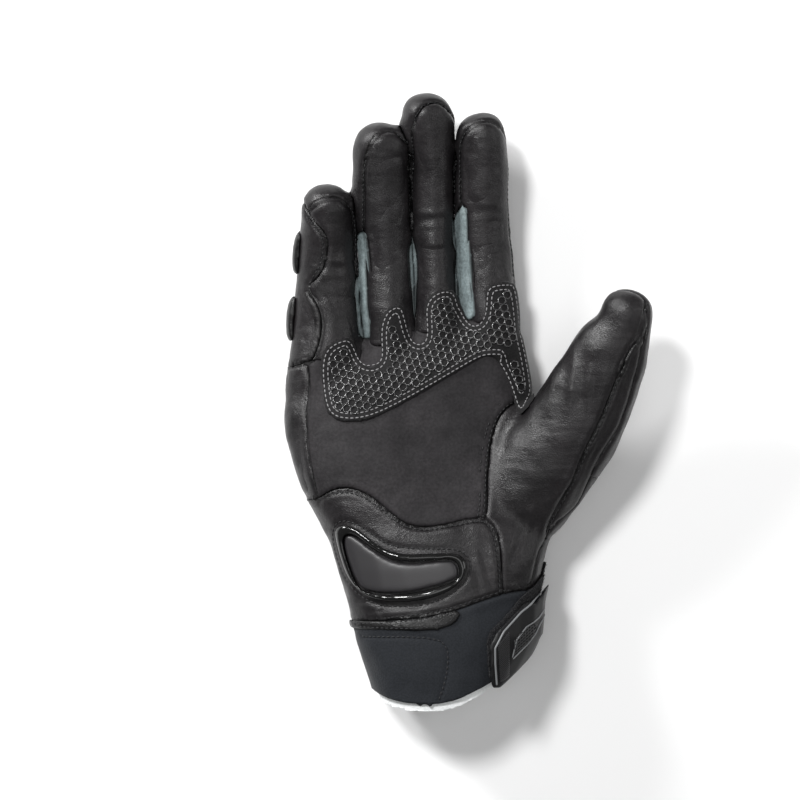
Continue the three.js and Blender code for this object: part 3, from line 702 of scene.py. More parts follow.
def chained(pairs):
    """Walks loose edges into runs of corner numbers."""
    links = {}
    for a, b in pairs.tolist():
        links.setdefault(a, []).append(b)
        links.setdefault(b, []).append(a)
    used = set()
    runs = []
    ends = [v for v, near in links.items() if len(near) != 2]
    for start in ends + list(links):
        while True:
            run = [start]
            step = start
            while step is not None:
                here = run[-1]
                fresh = (n for n in links[here] if frozenset((here, n)) not in used)
                step = next(fresh, None)
                if step is not None:
                    used.add(frozenset((here, step)))
                    run.append(step)
            if len(run) < 2:
                break
            runs.append(run)
    return runs


def even_line(points, step, rounds=0, closed=False):
    """A line with evenly spaced points, evened out between its ends."""
    line = np.asarray(points, float)
    if closed:
        line = np.concatenate([line, line[:1]])
    for _ in range(rounds):
        middle = 0.5 * line[1:-1] + 0.25 * (line[:-2] + line[2:])
        line = np.concatenate([line[:1], middle, line[-1:]])
    length = np.concatenate([[0], np.cumsum(np.linalg.norm(np.diff(line, axis=0), axis=1))])
    count = max(int(round(length[-1] / step)), 2)
    at = np.linspace(0, length[-1], count + 1)
    line = np.stack([np.interp(at, length, line[:, k]) for k in range(line.shape[1])], axis=1)
    return line[:-1] if closed else line


def rim_of(name):
    """The outline that a packed layer was cut on, as seen from above."""
    bm = solid_of(name)
    upward = {f for f in bm.faces if f.normal.z > UPWARD}
    pairs = [
        (e.verts[0].index, e.verts[1].index)
        for e in bm.edges
        if (e.link_faces[0] in upward) != (e.link_faces[1] in upward)
    ]
    places = np.array([v.co[:] for v in bm.verts])
    bm.free()
    runs = chained(np.array(pairs))
    rim = max(runs, key=lambda run: np.ptp(places[run][:, 0]) + np.ptp(places[run][:, 1]))
    return even_line(places[rim][:, :2], RIM_STEP, 3, closed=True)


def away_from(line, points):
    """How far each point is from a closed line in the plane, and whether it is inside."""
    a = line
    b = np.roll(line, -1, axis=0)
    run = b - a
    reach = points[:, None, :] - a[None]
    share = np.clip((reach * run).sum(2) / np.maximum((run * run).sum(1), TINY), 0, 1)
    gap = np.linalg.norm(reach - share[..., None] * run[None], axis=2).min(axis=1)
    crosses = (a[:, 1] > points[:, None, 1]) != (b[:, 1] > points[:, None, 1])
    slope = np.where(run[:, 1] == 0, TINY, run[:, 1])
    at = a[:, 0] + (points[:, None, 1] - a[:, 1]) * run[:, 0] / slope
    inside = (crosses & (points[:, None, 0] < at)).sum(axis=1) % 2 == 1
    return gap, inside


def inner_line(line, margin):
    """A closed line in the plane moved inwards, without the loops that tight corners make."""
    ahead = unit(np.roll(line, -1, axis=0) - np.roll(line, 1, axis=0))
    beside = np.stack([-ahead[:, 1], ahead[:, 0]], axis=1)
    area = (line[:, 0] * np.roll(line[:, 1], -1) - np.roll(line[:, 0], -1) * line[:, 1]).sum()
    moved = line + beside * margin * np.sign(area)
    gap, inside = away_from(line, moved)
    keep = (inside == (margin > 0)) & (gap > abs(margin) * MOVED_SHARE)
    return moved[keep]


def dropped(points, tree):
    """Points in the plane dropped from above onto a surface: the places, and which ones hit it."""
    places = []
    for x, y in np.asarray(points).tolist():
        hit = tree.ray_cast((x, y, RAY_TOP), (0, 0, -1))[0]
        places.append(hit[:] if hit else (x, y, MISSED))
    places = np.array(places)
    return places, places[:, 2] > MISSED


def stitches(name, slot, lines, tree, tint, closed=False):
    """Short threads along lines, sunk at both ends, as one mesh."""
    sizes = bpy.context.scene.glove_sizes
    bm = bmesh.new()
    bmesh.ops.create_uvsphere(bm, u_segments=6, v_segments=4, radius=0.5)
    shape = np.array([v.co[:] for v in bm.verts])
    bmesh.ops.triangulate(bm, faces=bm.faces)
    own = np.array([[v.index for v in f.verts] for f in bm.faces])
    bm.free()
    shape = shape[:, [2, 0, 1]] * (sizes.stitch_length, sizes.thread, THREAD_HEIGHT * sizes.thread)
    corners, faces = [], []
    for line in lines:
        line = even_line(line, sizes.stitch_pitch, closed=closed)
        ends = np.roll(line, -1, axis=0) if closed else line[1:]
        starts = line if closed else line[:-1]
        for a, b in zip(starts, ends):
            middle = (a + b) / 2
            up = np.array(tree.find_nearest(middle.tolist())[1][:])
            ahead = unit(b - a)
            side = unit(np.cross(up, ahead))
            up = np.cross(ahead, side)
            axes = np.stack([ahead, side, up])
            faces.append(own + len(shape) * len(faces))
            corners.append(shape @ axes + middle + THREAD_LIFT * sizes.thread * up)
    piece = mesh_piece(name, np.concatenate(corners), np.concatenate(faces))
    return settle(piece, thread(name + "_thread", tint), slot)


def on_picture(points):
    """Pixels of the picture as places on the glove."""
    points = np.asarray(points, float)
    x = (points[:, 0] - PICTURE_MIDDLE[0]) * PIXEL
    y = (PICTURE_MIDDLE[1] - points[:, 1]) * PIXEL
    return np.stack([x, y], axis=1)


def laid_line(points, tree, step=0.4 * MM, rounds=2, closed=False):
    """A line in the plane, evened out and dropped onto a surface."""
    places, hit = dropped(even_line(points, step, rounds, closed), tree)
    return places[hit]


def clipped(line, polygon, step=0.2 * MM):
    """The parts of a straight line that lie inside a polygon."""
    points = even_line(line, step)
    inside = away_from(polygon, points)[1]
    runs = np.split(points, np.flatnonzero(np.diff(inside.astype(int))) + 1)
    return [run for run in runs if len(run) > 3 and away_from(polygon, run[len(run) // 2][None])[1][0]]


def hatching(start, end, move, count, field):
    """Straight lines side by side, cut off at the edge of a field."""
    runs = []
    for k in range(count):
        line = np.array([start, end]) + k * np.array(move)
        runs += clipped(on_picture(line), field)
    return runs


def beads(name, lines, tree, radius, material, slot, sink=0.4):
    """Round beads that lie along lines on a surface, thin at both ends."""
    corners, faces = [], []
    offset = 0
    turns = np.arange(BEAD_SIDES) * math.tau / BEAD_SIDES
    for line in lines:
        if len(line) < 3:
            continue
        up = np.array([tree.find_nearest(p)[1][:] for p in line.tolist()])
        side = unit(np.cross(up, unit(np.gradient(line, axis=0))))
        size = np.full(len(line), radius)
        size[[0, -1]] *= BEAD_END
        ring = np.multiply.outer(np.cos(turns), side) + np.multiply.outer(np.sin(turns), up)
        ring = ring.transpose(1, 0, 2) * size[:, None, None]
        corners.append(((line + sink * radius * up)[:, None] + ring).reshape(-1, 3))
        row = (np.arange(len(line) - 1) * BEAD_SIDES)[:, None]
        i = row + np.arange(BEAD_SIDES)
        j = row + (np.arange(BEAD_SIDES) + 1) % BEAD_SIDES
        sides = np.stack([i, i + BEAD_SIDES, j + BEAD_SIDES, j], axis=2)
        faces.append(sides.reshape(-1, 4) + offset)
        offset += BEAD_SIDES * len(line)
    piece = mesh_piece(name, np.concatenate(corners), np.concatenate(faces))
    return settle(piece, material, slot)


def fibres(name, corners, normals, material, slot):
    """Short loose fibres that stand on a surface and lean every way."""
    chance = np.random.default_rng(FUZZ_SEED)
    lean = unit(normals + chance.normal(0, FUZZ_LEAN, corners.shape))
    side = unit(np.cross(lean, chance.normal(0, 1, corners.shape)))
    other = np.cross(lean, side)
    reach = FUZZ_LENGTH * chance.uniform(0.5, 1.0, (len(corners), 1))
    base = corners - FUZZ_ROOT * normals
    turns = [k * math.tau / 3 for k in range(3)]
    rim = [base + FUZZ_RADIUS * (math.cos(t) * side + math.sin(t) * other) for t in turns]
    points = np.stack([*rim, base + reach * lean], axis=1).reshape(-1, 3)
    sides = np.array([[0, 1, 3], [1, 2, 3], [2, 0, 3], [0, 2, 1]])
    faces = (np.arange(len(corners)) * 4)[:, None, None] + sides
    return settle(mesh_piece(name, points, faces.reshape(-1, 3)), material, slot)


# The skin is made by the first operator, and the others lay their pieces on it
skin = None


def press_seams():
    """Draws seams in and lets the leather beside them swell a little."""
    sizes = skin.sizes
    dip = sizes.seam_depth * np.exp(-((skin.gap / sizes.seam_width) ** 2))
    swell = sizes.puff * np.exp(-(((skin.gap - SWELL_PLACE) / SWELL_WIDTH) ** 2))
    skin.corners += (swell - dip)[:, None] * skin.normals


def press_rows():
    """Draws the leather in along the rows of dark stitches."""
    skin.rows = [line for row in SEAM_ROWS for line in skin.row_beside(*row)]
    outside, hit = dropped(inner_line(rim_of("slider_frame"), -SLIDER_ROW), skin.tree)
    skin.rows.append(outside[hit])
    skin.rows.append(laid_line(on_picture(NEOPRENE_ROW), skin.tree))
    gap = gaps_to(near_tree(np.concatenate(skin.rows)), skin.corners)
    skin.corners -= (ROW_DEPTH * np.exp(-((gap / ROW_WIDTH) ** 2)))[:, None] * skin.normals
    # The rows get painted shade too, a little lighter than a seam's
    skin.gap = np.minimum(skin.gap, gap + ROW_PAINTED_SHADE_OFFSET)


def press_sides():
    """Swells the lower side walls of the fingers, as full fingers do where they touch."""
    number = np.zeros(len(skin.corners), int)
    number[skin.faces.ravel()] = np.repeat(skin.label, 4)
    for names, way, start, end, amount in LEANING:
        mine = np.isin(number, [PANELS.index(name) for name in names])
        along = (skin.corners[:, 1] - start) / (end - start)
        window = np.sin(np.pi * np.clip(along, 0, 1)) ** 0.5
        facing = np.clip(way * skin.normals[:, 0] * LEAN_GAIN - LEAN_SLANT, 0, 1)
        push = np.where(mine, amount * window * facing, 0)[:, None]
        skin.corners[:, 0] += way * smoothed(push, skin.edges, LEAN_ROUNDS, GENTLE)[:, 0]
    skin.normals = normals_of(skin.corners, skin.faces)


def press_folds():
    """Presses soft folds in from above, with a low swelling beside each."""
    points, deep, wide = [], [], []
    for line, depth, width in FOLDS:
        run = even_line(on_picture(line), ROW_STEP, 8)
        fade = np.sin(np.linspace(FOLD_END, math.pi - FOLD_END, len(run)))
        points.append(run)
        deep.append(depth * fade)
        wide.append(np.full(len(run), width))
    points, deep, wide = np.concatenate(points), np.concatenate(deep), np.concatenate(wide)
    tree = near_tree(np.column_stack([points, np.zeros(len(points))]))
    found = [tree.find((x, y, 0)) for x, y, _ in skin.corners.tolist()]
    near = np.array([f[1] for f in found])
    gap = np.array([f[2] for f in found]) / wide[near]
    swell = FOLD_SWELL * np.exp(-((gap - FOLD_SWELL_PLACE) ** 2) / FOLD_SWELL_SPREAD)
    shape = np.exp(-(gap**2)) - swell
    facing = np.clip(skin.normals[:, 2] * FOLD_FACING, 0, 1)
    skin.corners -= (deep[near] * shape * facing)[:, None] * skin.normals


def press_lumps():
    """Gives the leather low swells and dips, because soft leather isn't even."""
    places = [Vector(c) for c in skin.corners.tolist()]
    broad = np.array([noise.noise(place * BROAD_LUMPS) for place in places])
    fine = np.array([noise.noise(place * FINE_LUMPS + Vector((7, 3, 1))) for place in places])
    rise = (BROAD_HEIGHT * broad + FINE_HEIGHT * fine) * MM
    skin.corners += rise[:, None] * skin.normals


class GLOVE_OT_skin(bpy.types.Operator):
    """Draws one fine skin over the solids and parts it into panels along the seams"""

    bl_idname = "glove.skin"
    bl_label = "Leather panels"

    def execute(self, context):
        global skin
        skin = Skin(context.scene.glove_sizes)
        press_sides()
        press_lumps()
        press_folds()
        press_seams()
        skin.finish()
        press_rows()
        skin.finish()
        finishes = {
            "black_leather": black_leather(),
            "palm_leather": palm_leather(),
            "grey_leather": grey_leather(),
            "neoprene": neoprene(),
        }
        for number, name in enumerate(PANELS):
            self.part(number, name, finishes)
        return {"FINISHED"}

    def part(self, number, name, finishes):
        """Makes one panel from its faces of the skin, and steps it over or under its neighbours."""
        faces = skin.faces[skin.label == number]
        used, own = np.unique(faces, return_inverse=True)
        rise = np.zeros(len(skin.corners))
        for shared, other in skin_pairs(number):
            step = LAP.get(name, PLAIN_LAP) - LAP.get(PANELS[other], PLAIN_LAP)
            rise[shared] = np.sign(step) * skin.sizes.lap
        corners = skin.corners[used] + rise[used][:, None] * skin.normals[used]
        # The distance to the seams goes with the panel, for the painted shade of its leather
        piece = mesh_piece(name, corners, own.reshape(faces.shape), {"seam": skin.gap[used]})
        wall(piece, skin.sizes.leather_wall * (CUFF_WALL if name == "cuff" else 1))
        settle(piece, finishes[SLOTS[name]], SLOTS[name], [name])


def skin_pairs(number):
    """For one panel, the seam corners that it shares and the panel on the other side."""
    for marks in np.unique(skin.seam_marks, axis=0):
        if number in marks:
            rows = (skin.seam_marks == marks).all(axis=1)
            yield skin.seam[rows].ravel(), int(marks[1] if marks[0] == number else marks[0])


# Layers that lie on the skin


def layer_piece(name, material, step, rounds, lift=0.0, edge=0.0):
    """A packed layer as a fine mesh with rounded edges that follows the softened skin."""
    corners, faces = fine_mesh([grown_copy(name, edge)], step)
    edges, _ = edges_of(faces)
    shift = smoothed(skin.carry(corners), edges, SHIFT_ROUNDS, FIRM)
    corners = smoothed(corners + shift, edges, rounds, GENTLE)
    if lift:
        corners += lift * normals_of(corners, faces)
    piece = mesh_piece(name, corners, faces)
    settle(piece, material, SLOTS[name], [name])
    return piece, tree_of(corners, faces)


class GLOVE_OT_layers(bpy.types.Operator):
    """Lays the wrist band, knuckle pads and lining on and in the glove"""

    bl_idname = "glove.layers"
    bl_label = "Band, pads and lining"

    def execute(self, context):
        step = context.scene.glove_sizes.layer_step
        _, band = layer_piece("wrist_band", black_leather(), step, rounds=5)
        rows = [laid_line(inner_line(rim_of("wrist_band"), BAND_ROW), band, closed=True)]
        stitches("stitches_band", "strap_web", rows, band, colours().thread_dark, closed=True)
        for name in ("knuckle_pad_1", "knuckle_pad_2"):
            pad, _ = layer_piece(name, black_leather(), step, rounds=10, lift=PAD_LIFT)
        lining, _ = layer_piece("cuff_lining", lining_cloth(), 1.5 * step, rounds=7, lift=LINING_LIFT)
        for vert in lining.data.vertices:
            at_hem = 1 - (vert.co.y - CAD_BOX[0][1]) / HEM_SHOW_REACH
            vert.co.y -= HEM_SHOW * min(max(at_hem, 0), 1)
        return {"FINISHED"}


class GLOVE_OT_seams(bpy.types.Operator):
    """Sews the dark stitches beside the seams"""

    bl_idname = "glove.seams"
    bl_label = "Dark stitches"

    def execute(self, context):
        stitches("stitches_dark", "strap_web", skin.rows, skin.tree, colours().thread_dark)
        return {"FINISHED"}


class GLOVE_OT_slider(bpy.types.Operator):
    """Makes the gloss frame and the matt insert on the heel of the hand"""

    bl_idname = "glove.slider"
    bl_label = "Slider"

    def execute(self, context):
        step = context.scene.glove_sizes.layer_step
        layer_piece("slider_frame", gloss_plastic(), 0.7 * step, rounds=52, edge=FRAME_EDGE)
        layer_piece("slider_insert", matt_plastic(), 0.8 * step, rounds=20)
        return {"FINISHED"}


class GLOVE_OT_strap(bpy.types.Operator):
    """Makes the closure strap and its moulded tab"""

    bl_idname = "glove.strap"
    bl_label = "Strap and tab"

    def execute(self, context):
        step = context.scene.glove_sizes.layer_step
        strap, _ = layer_piece("strap", loop_tape(), step, rounds=6)
        _, tab_tree = layer_piece("strap_tab", tab_rubber(), 0.85 * step, rounds=7)
        self.fuzz(strap.data, tab_tree)
        self.lines(tab_tree)
        self.patterns(tab_tree)
        return {"FINISHED"}

    def fuzz(self, mesh, tab_tree):
        """Fibres on the part of the strap that the tab leaves bare."""
        corners = np.array([v.co[:] for v in mesh.vertices])
        normals = np.array([v.normal[:] for v in mesh.vertices])
        bare = np.array([tab_tree.find_nearest(c)[3] > FUZZ_CLEAR for c in corners.tolist()])
        bare &= normals[:, 2] > FUZZ_FACING
        chosen = np.flatnonzero(bare)[::2][:FUZZ_COUNT]
        fibres("strap_fuzz", corners[chosen], normals[chosen], loop_tape(), "strap_web")

    def lines(self, tree):
        """The pale rim line and the two pale lines round the channel."""
        for name, lines, radius in (
            ("tab_rim", (TAB_RIM,), RIM_RADIUS),
            ("tab_channel", (CHANNEL_UPPER, CHANNEL_LOWER), CHANNEL_RADIUS),
        ):
            laid = [laid_line(on_picture(line), tree, rounds=1) for line in lines]
            beads(name, laid, tree, radius, rim_rubber(), "tab_rubber")

    def patterns(self, tree):
        """The ribbed strip and the grid of small squares."""
        inset = on_picture(GRID_INSET)
        ribs = hatching(*RIBS, on_picture(RIBBED_STRIP))
        bars = hatching(*UPRIGHT_BARS, inset) + hatching(*SLANTED_BARS, inset)
        for name, runs, radius in (("tab_ribs", ribs, RIB_RADIUS), ("tab_grid", bars, BAR_RADIUS)):
            laid = [laid_line(run, tree, LINE_STEP, rounds=0) for run in runs]
            beads(name, laid, tree, radius, rib_rubber(), "tab_rubber", sink=0.5)


def cell_middles(rim, pitch):
    """Middles of the honeycomb cells that lie clear of the patch's plain margin."""
    low, high = rim.min(axis=0), rim.max(axis=0)
    reach = int(np.linalg.norm(high - low) / pitch / 2) + 2
    across = np.array([math.cos(HONEYCOMB_TURN), math.sin(HONEYCOMB_TURN)])
    up = np.array([-across[1], across[0]])
    middles = np.array([
        (low + high) / 2 + across * pitch * (i + 0.5 * (j % 2)) + up * pitch * j * math.sqrt(0.75)
        for j in range(-reach, reach + 1)
        for i in range(-reach, reach + 1)
    ])
    gap, inside = away_from(rim, middles)
    return middles[inside & (gap > PATCH_PLAIN + CELL_CLEAR * pitch)]


def cell_sheet(middles, pitch):
    """Six-sided faces side by side, welded where they touch."""
    bm = bmesh.new()
    radius = pitch / math.sqrt(3)
    for x, y in middles.tolist():
        ring = bmesh.ops.create_circle(bm, segments=6, radius=radius, cap_ends=True)
        for vert in ring["verts"]:
            turn = math.atan2(vert.co.y, vert.co.x) + HONEYCOMB_TURN + math.pi / 6
            vert.co = (x + radius * math.cos(turn), y + radius * math.sin(turn), 0)
    bmesh.ops.remove_doubles(bm, verts=bm.verts, dist=CELL_WELD * pitch)
    for face in bm.faces:
        if face.normal.z < 0:
            face.normal_flip()
    return bm


def honeycomb(rim, tree, sizes):
    """Flat-topped ridges round six-sided cells, dropped onto the patch."""
    bm = cell_sheet(cell_middles(rim, sizes.cell_pitch), sizes.cell_pitch)
    height = {v: 1.0 for v in bm.verts}
    cells = list(bm.faces)
    for share, level in RIDGE_STEPS:
        bmesh.ops.inset_individual(bm, faces=cells, thickness=sizes.ridge_width * share, depth=0)
        cells = [f for f in bm.faces if len(f.verts) == 6]
        height.update({vert: level for cell in cells for vert in cell.verts})
    bmesh.ops.delete(bm, geom=cells, context="FACES_ONLY")
    border = [e for e in bm.edges if len(e.link_faces) == 1 and height[e.verts[0]] > 0.5]
    grown = bmesh.ops.extrude_edge_only(bm, edges=border)["geom"]
    foot = {g for g in grown if isinstance(g, bmesh.types.BMVert)}
    height.update({vert: 0.0 for vert in foot})
    bm.verts.index_update()
    corners = np.array([v.co[:] for v in bm.verts])
    level = np.array([height.get(v, 0.0) for v in bm.verts])
    for vert in foot:
        tops = [n for n in (e.other_vert(vert) for e in vert.link_edges) if n not in foot]
        if tops:
            near = [e.other_vert(tops[0]) for e in tops[0].link_edges]
            mean = np.mean([n.co[:] for n in near if n not in foot], axis=0)
            corners[vert.index] += unit(np.array(tops[0].co[:]) - mean) * RIDGE_FOOT
    places, hit = dropped(corners[:, :2], tree)
    faces = [[v.index for v in f.verts] for f in bm.faces]
    quads = np.array([f for f in faces if len(f) == 4 and hit[f].all()])
    bm.free()
    places[:, 2] += level * sizes.ridge_height - (level < 0.1) * RIDGE_SINK
    return places, quads


class GLOVE_OT_grip_patch(bpy.types.Operator):
    """Makes the grip patch with its raised honeycomb and its two rows of pale stitches"""

    bl_idname = "glove.grip_patch"
    bl_label = "Grip patch"

    def execute(self, context):
        sizes = context.scene.glove_sizes
        _, tree = layer_piece("grip_patch", patch_cloth(), sizes.layer_step, rounds=6)
        rim = rim_of("grip_patch")
        places, quads = honeycomb(rim, tree, sizes)
        settle(mesh_piece("grip_honeycomb", places, quads), grip_silicone(), "grip_silicone")
        rows = [laid_line(inner_line(rim, margin), tree, RIM_STEP, closed=True) for margin in PATCH_ROWS]
        stitches("stitches_pale", "lining_cloth", rows, tree, colours().thread_pale, closed=True)
        return {"FINISHED"}


# Materials

# Patterns on the leather, from wide to fine, in waves to the metre, and how far the painted shade in its
# seams reaches
WORN_SCALE = 45.0
FOLD_SCALE = 75.0
GLOSS_SCALE = 160.0
CREASE_SCALE = 300.0
SPECKLE_SCALE = 900.0
PAINTED_SHADE_REACH = 0.9 * MM


def new_material(name, tint, roughness, gloss=0.5):
    material = bpy.data.materials.new(name)
    material.use_nodes = True
    shader = material.node_tree.nodes["Principled BSDF"]
    shader.inputs["Base Color"].default_value = (*tint, 1)
    shader.inputs["Roughness"].default_value = roughness
    shader.inputs["Specular IOR Level"].default_value = gloss
    return material, material.node_tree.links, shader


def add_node(material, kind, **values):
    node = material.node_tree.nodes.new(kind)
    for name, value in values.items():
        if name in node.inputs:
            node.inputs[name].default_value = value
        else:
            setattr(node, name, value)
    return node


def place_of(material):
    return add_node(material, "ShaderNodeTexCoord").outputs["Object"]


def noise_of(material, scale, detail=3.0, roughness=0.55, stretch=None):
    node = add_node(material, "ShaderNodeTexNoise", Scale=scale, Detail=detail, Roughness=roughness)
    place = place_of(material)
    if stretch:
        wide = add_node(material, "ShaderNodeVectorMath", operation="MULTIPLY")
        material.node_tree.links.new(place, wide.inputs[0])
        wide.inputs[1].default_value = stretch
        place = wide.outputs["Vector"]
    material.node_tree.links.new(place, node.inputs["Vector"])
    return node.outputs["Fac"]


def spread_of(material, value, low, high, to_low, to_high):
    node = add_node(material, "ShaderNodeMapRange")
    for name, number in (
        ("From Min", low), ("From Max", high), ("To Min", to_low), ("To Max", to_high)
    ):
        node.inputs[name].default_value = number
    material.node_tree.links.new(value, node.inputs["Value"])
    return node.outputs["Result"]


def mixed(material, factor, one, other):
    node = add_node(material, "ShaderNodeMix", data_type="RGBA")
    for socket, value in (("A", one), ("B", other)):
        plug = [i for i in node.inputs if i.name == socket and i.type == "RGBA"][0]
        if hasattr(value, "links"):
            material.node_tree.links.new(value, plug)
        else:
            plug.default_value = (*value, 1)
    material.node_tree.links.new(factor, node.inputs["Factor"])
    return [o for o in node.outputs if o.type == "RGBA"][0]


def bumped(material, height, distance, strength, under=None):
    node = add_node(material, "ShaderNodeBump", Distance=distance, Strength=strength)
    material.node_tree.links.new(height, node.inputs["Height"])
    if under is not None:
        material.node_tree.links.new(under, node.inputs["Normal"])
    return node.outputs["Normal"]


def pebbles(material, scale):
    """Rounded grains with creases between them."""
    node = add_node(material, "ShaderNodeTexVoronoi", Scale=scale)
    node.feature = "DISTANCE_TO_EDGE"
    warp = add_node(material, "ShaderNodeVectorMath", operation="ADD")
    shake = add_node(material, "ShaderNodeTexNoise", Scale=scale * 0.35, Detail=2.0)
    small = add_node(material, "ShaderNodeVectorMath", operation="SCALE")
    small.inputs["Scale"].default_value = 0.8 / scale
    links = material.node_tree.links
    links.new(place_of(material), shake.inputs["Vector"])
    links.new(shake.outputs["Color"], small.inputs[0])
    links.new(place_of(material), warp.inputs[0])
    links.new(small.outputs["Vector"], warp.inputs[1])
    links.new(warp.outputs["Vector"], node.inputs["Vector"])
    return spread_of(material, node.outputs["Distance"], 0.0, 0.22, 0.0, 1.0)


def painted_seam_shade(material):
    """Painted shade: one away from a seam, and nought in its groove, where the leather's colour is darkened.
    """
    node = add_node(material, "ShaderNodeAttribute", attribute_name="seam")
    return spread_of(material, node.outputs["Fac"], 0.0, PAINTED_SHADE_REACH, 0.0, 1.0)


def leather(name, tint, worn, roughness, gloss, grain, depth):
    """Grained leather that is paler where it is rubbed, with painted shade that darkens it in its seams and
    rows of stitches.
    """
    material, links, shader = new_material(name, tint, roughness, gloss)
    rubbed = spread_of(material, noise_of(material, WORN_SCALE, 4.0), 0.38, 0.68, 0.0, 1.0)
    speckle = spread_of(material, noise_of(material, SPECKLE_SCALE, 2.0), 0.3, 0.7, 0.75, 1.3)
    shade = add_node(material, "ShaderNodeVectorMath", operation="SCALE")
    links.new(mixed(material, rubbed, tint, worn), shade.inputs[0])
    links.new(speckle, shade.inputs["Scale"])
    # Painted shade: the colour falls to a quarter of the tint in the grooves of seams and stitch rows
    dark = mixed(material, painted_seam_shade(material), tuple(0.25 * c for c in tint), shade.outputs[0])
    links.new(dark, shader.inputs["Base Color"])
    patches = noise_of(material, GLOSS_SCALE, 4.0)
    patchy = spread_of(material, patches, 0.3, 0.7, roughness - 0.07, roughness + 0.1)
    links.new(patchy, shader.inputs["Roughness"])
    across = noise_of(material, FOLD_SCALE, 2.5, 0.5, (0.5, 1.5, 1.0))
    folds = bumped(material, across, 1.6 * MM, 0.4)
    creases = bumped(material, noise_of(material, CREASE_SCALE, 5.0, 0.62), 0.5 * MM, 0.35, folds)
    grains = bumped(material, pebbles(material, grain), depth, 0.5, creases)
    links.new(grains, shader.inputs["Normal"])
    return material


def black_leather():
    return leather(
        "black_leather", colours().black, worn=(0.013, 0.0115, 0.0125),
        roughness=0.35, gloss=0.33, grain=1300.0, depth=0.07 * MM,
    )


def palm_leather():
    return leather(
        "palm_leather", colours().palm, worn=(0.022, 0.020, 0.0215),
        roughness=0.6, gloss=0.15, grain=1700.0, depth=0.05 * MM,
    )


def grey_leather():
    return leather(
        "grey_leather", colours().grey, worn=(0.18, 0.22, 0.225),
        roughness=0.55, gloss=0.3, grain=1500.0, depth=0.05 * MM,
    )


def knit(name, tint, pale, scale, roughness, depth):
    """Fine knitted cloth: rows of small loops."""
    material, links, shader = new_material(name, tint, roughness, gloss=0.2)
    shader.inputs["Sheen Weight"].default_value = 0.06
    node = add_node(material, "ShaderNodeTexVoronoi", Scale=scale)
    links.new(place_of(material), node.inputs["Vector"])
    loops = spread_of(material, node.outputs["Distance"], 0.0, 0.75, 1.0, 0.0)
    links.new(mixed(material, loops, tint, pale), shader.inputs["Base Color"])
    links.new(bumped(material, loops, depth, 0.7), shader.inputs["Normal"])
    return material


def neoprene():
    return knit(
        "neoprene", colours().neoprene, pale=(0.015, 0.017, 0.021),
        scale=1500.0, roughness=0.75, depth=0.12 * MM,
    )


def lining_cloth():
    return knit(
        "lining_cloth", colours().lining, pale=(0.92, 0.93, 0.93),
        scale=1100.0, roughness=0.9, depth=0.12 * MM,
    )


def patch_cloth():
    return knit(
        "patch_cloth", (0.004, 0.004, 0.004), pale=(0.010, 0.009, 0.010),
        scale=1600.0, roughness=0.7, depth=0.1 * MM,
    )


def loop_tape():
    return knit(
        "loop_tape", colours().tape, pale=(0.018, 0.018, 0.019),
        scale=1300.0, roughness=0.95, depth=0.6 * MM,
    )


def grained(name, tint, roughness, gloss, scale, depth, strength, detail=2.0):
    """A moulded or spun surface with a fine even grain."""
    material, links, shader = new_material(name, tint, roughness, gloss)
    grain = bumped(material, noise_of(material, scale, detail), depth, strength)
    links.new(grain, shader.inputs["Normal"])
    return material


def grip_silicone():
    return grained(
        "grip_silicone", colours().grip, roughness=0.2, gloss=1.0,
        scale=600.0, depth=0.1 * MM, strength=0.2, detail=3.0,
    )


def gloss_plastic():
    """Hard gloss plastic whose polish changes a little from place to place."""
    material, links, shader = new_material("gloss_plastic", colours().gloss, 0.07)
    polish = spread_of(material, noise_of(material, 220.0), 0.3, 0.7, 0.09, 0.17)
    links.new(polish, shader.inputs["Roughness"])
    return material


def matt_plastic():
    return grained(
        "matt_plastic", colours().matt, roughness=0.42, gloss=0.5,
        scale=2200.0, depth=0.06 * MM, strength=0.35,
    )


def tab_rubber():
    return grained(
        "tab_rubber", colours().rubber, roughness=0.45, gloss=0.25,
        scale=1800.0, depth=0.05 * MM, strength=0.3,
    )


def line_rubber(name, tint):
    return grained(
        name, tint, roughness=0.4, gloss=0.5, scale=1500.0, depth=0.05 * MM, strength=0.3
    )


def rim_rubber():
    return line_rubber("rim_rubber", colours().rim)


def rib_rubber():
    return line_rubber("rib_rubber", (0.016, 0.016, 0.017))


def thread(name, tint):
    return grained(
        name, tint, roughness=0.6, gloss=0.5, scale=2600.0, depth=0.1 * MM, strength=0.5
    )


# Stage


def soft_light(name, place, target, width, watts):
    data = bpy.data.lights.new(name, "AREA")
    data.shape = "DISK"
    data.size = width
    data.energy = watts
    lamp = placed(name, data)
    lamp.location = place
    lamp.rotation_euler = (Vector(target) - Vector(place)).to_track_quat("-Z", "Y").to_euler()


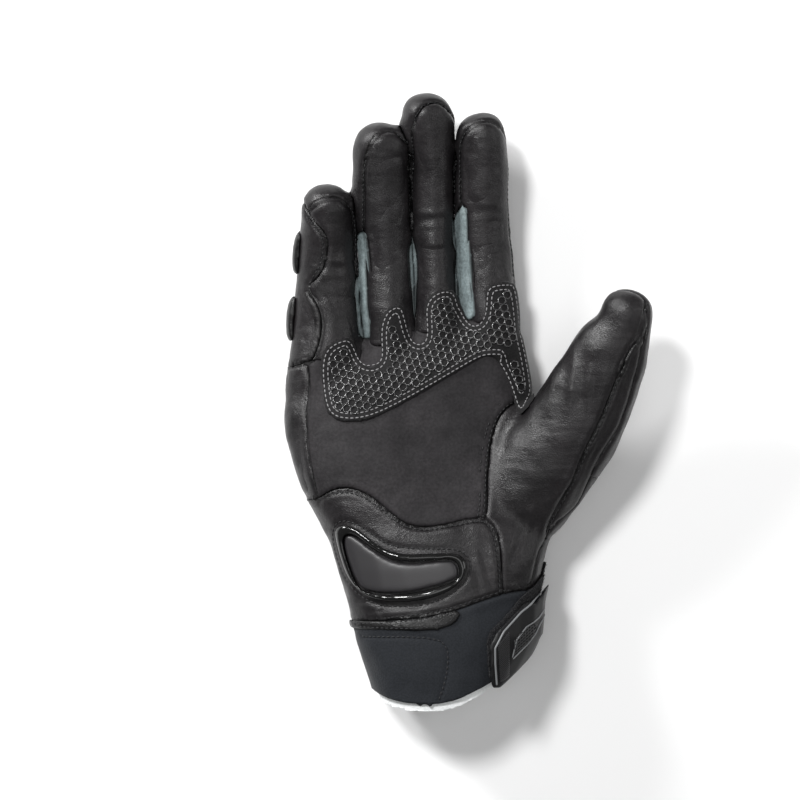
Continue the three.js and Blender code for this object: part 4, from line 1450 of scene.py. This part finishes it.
def floor():
    """A large plain sheet of white paper."""
    bm = bmesh.new()
    bmesh.ops.create_grid(bm, x_segments=1, y_segments=1, size=FLOOR_REACH)
    sheet = placed("floor", mesh_of(bm, "floor"))
    paper, _, _ = new_material("floor_paper", (0.9, 0.9, 0.9), 0.9)
    sheet.data.materials.append(paper)


class GLOVE_OT_stage(bpy.types.Operator):
    """Sets the floor, the soft lights and the camera above the palm"""

    bl_idname = "glove.stage"
    bl_label = "Stage"

    def execute(self, context):
        scene = context.scene
        floor()
        for light in LIGHTS:
            soft_light(*light)
        world = bpy.data.worlds.new("studio")
        world.use_nodes = True
        background = world.node_tree.nodes["Background"]
        background.inputs["Color"].default_value = (1, 1, 1, 1)
        background.inputs["Strength"].default_value = WORLD_STRENGTH
        scene.world = world
        scene.view_settings.view_transform = "Standard"
        data = bpy.data.cameras.new("camera")
        data.sensor_width = 36
        data.lens = CAMERA_LENS
        scene.camera = placed("camera", data)
        scene.camera.location = CAMERA_PLACE
        return {"FINISHED"}


class GLOVE_PT_panel(bpy.types.Panel):
    """Buttons that build the glove piece by piece"""

    bl_idname = "GLOVE_PT_panel"
    bl_label = "Motorcycle glove"
    bl_space_type = "VIEW_3D"
    bl_region_type = "UI"
    bl_category = "Glove"

    def draw(self, context):
        for operator in OPERATORS:
            self.layout.operator(operator.bl_idname)


OPERATORS = (
    GLOVE_OT_stage,
    GLOVE_OT_skin,
    GLOVE_OT_layers,
    GLOVE_OT_seams,
    GLOVE_OT_slider,
    GLOVE_OT_grip_patch,
    GLOVE_OT_strap,
)
CLASSES = (GloveSizes, GloveColours, *OPERATORS, GLOVE_PT_panel)


def register():
    for each in CLASSES:
        bpy.utils.register_class(each)
    bpy.types.Scene.glove_sizes = PointerProperty(type=GloveSizes)
    bpy.types.Scene.glove_colours = PointerProperty(type=GloveColours)


def unregister():
    del bpy.types.Scene.glove_colours
    del bpy.types.Scene.glove_sizes
    for each in reversed(CLASSES):
        bpy.utils.unregister_class(each)


def main():
    register()
    for operator in OPERATORS:
        group, name = operator.bl_idname.split(".")
        getattr(getattr(bpy.ops, group), name)()


if __name__ == "__main__":
    main()
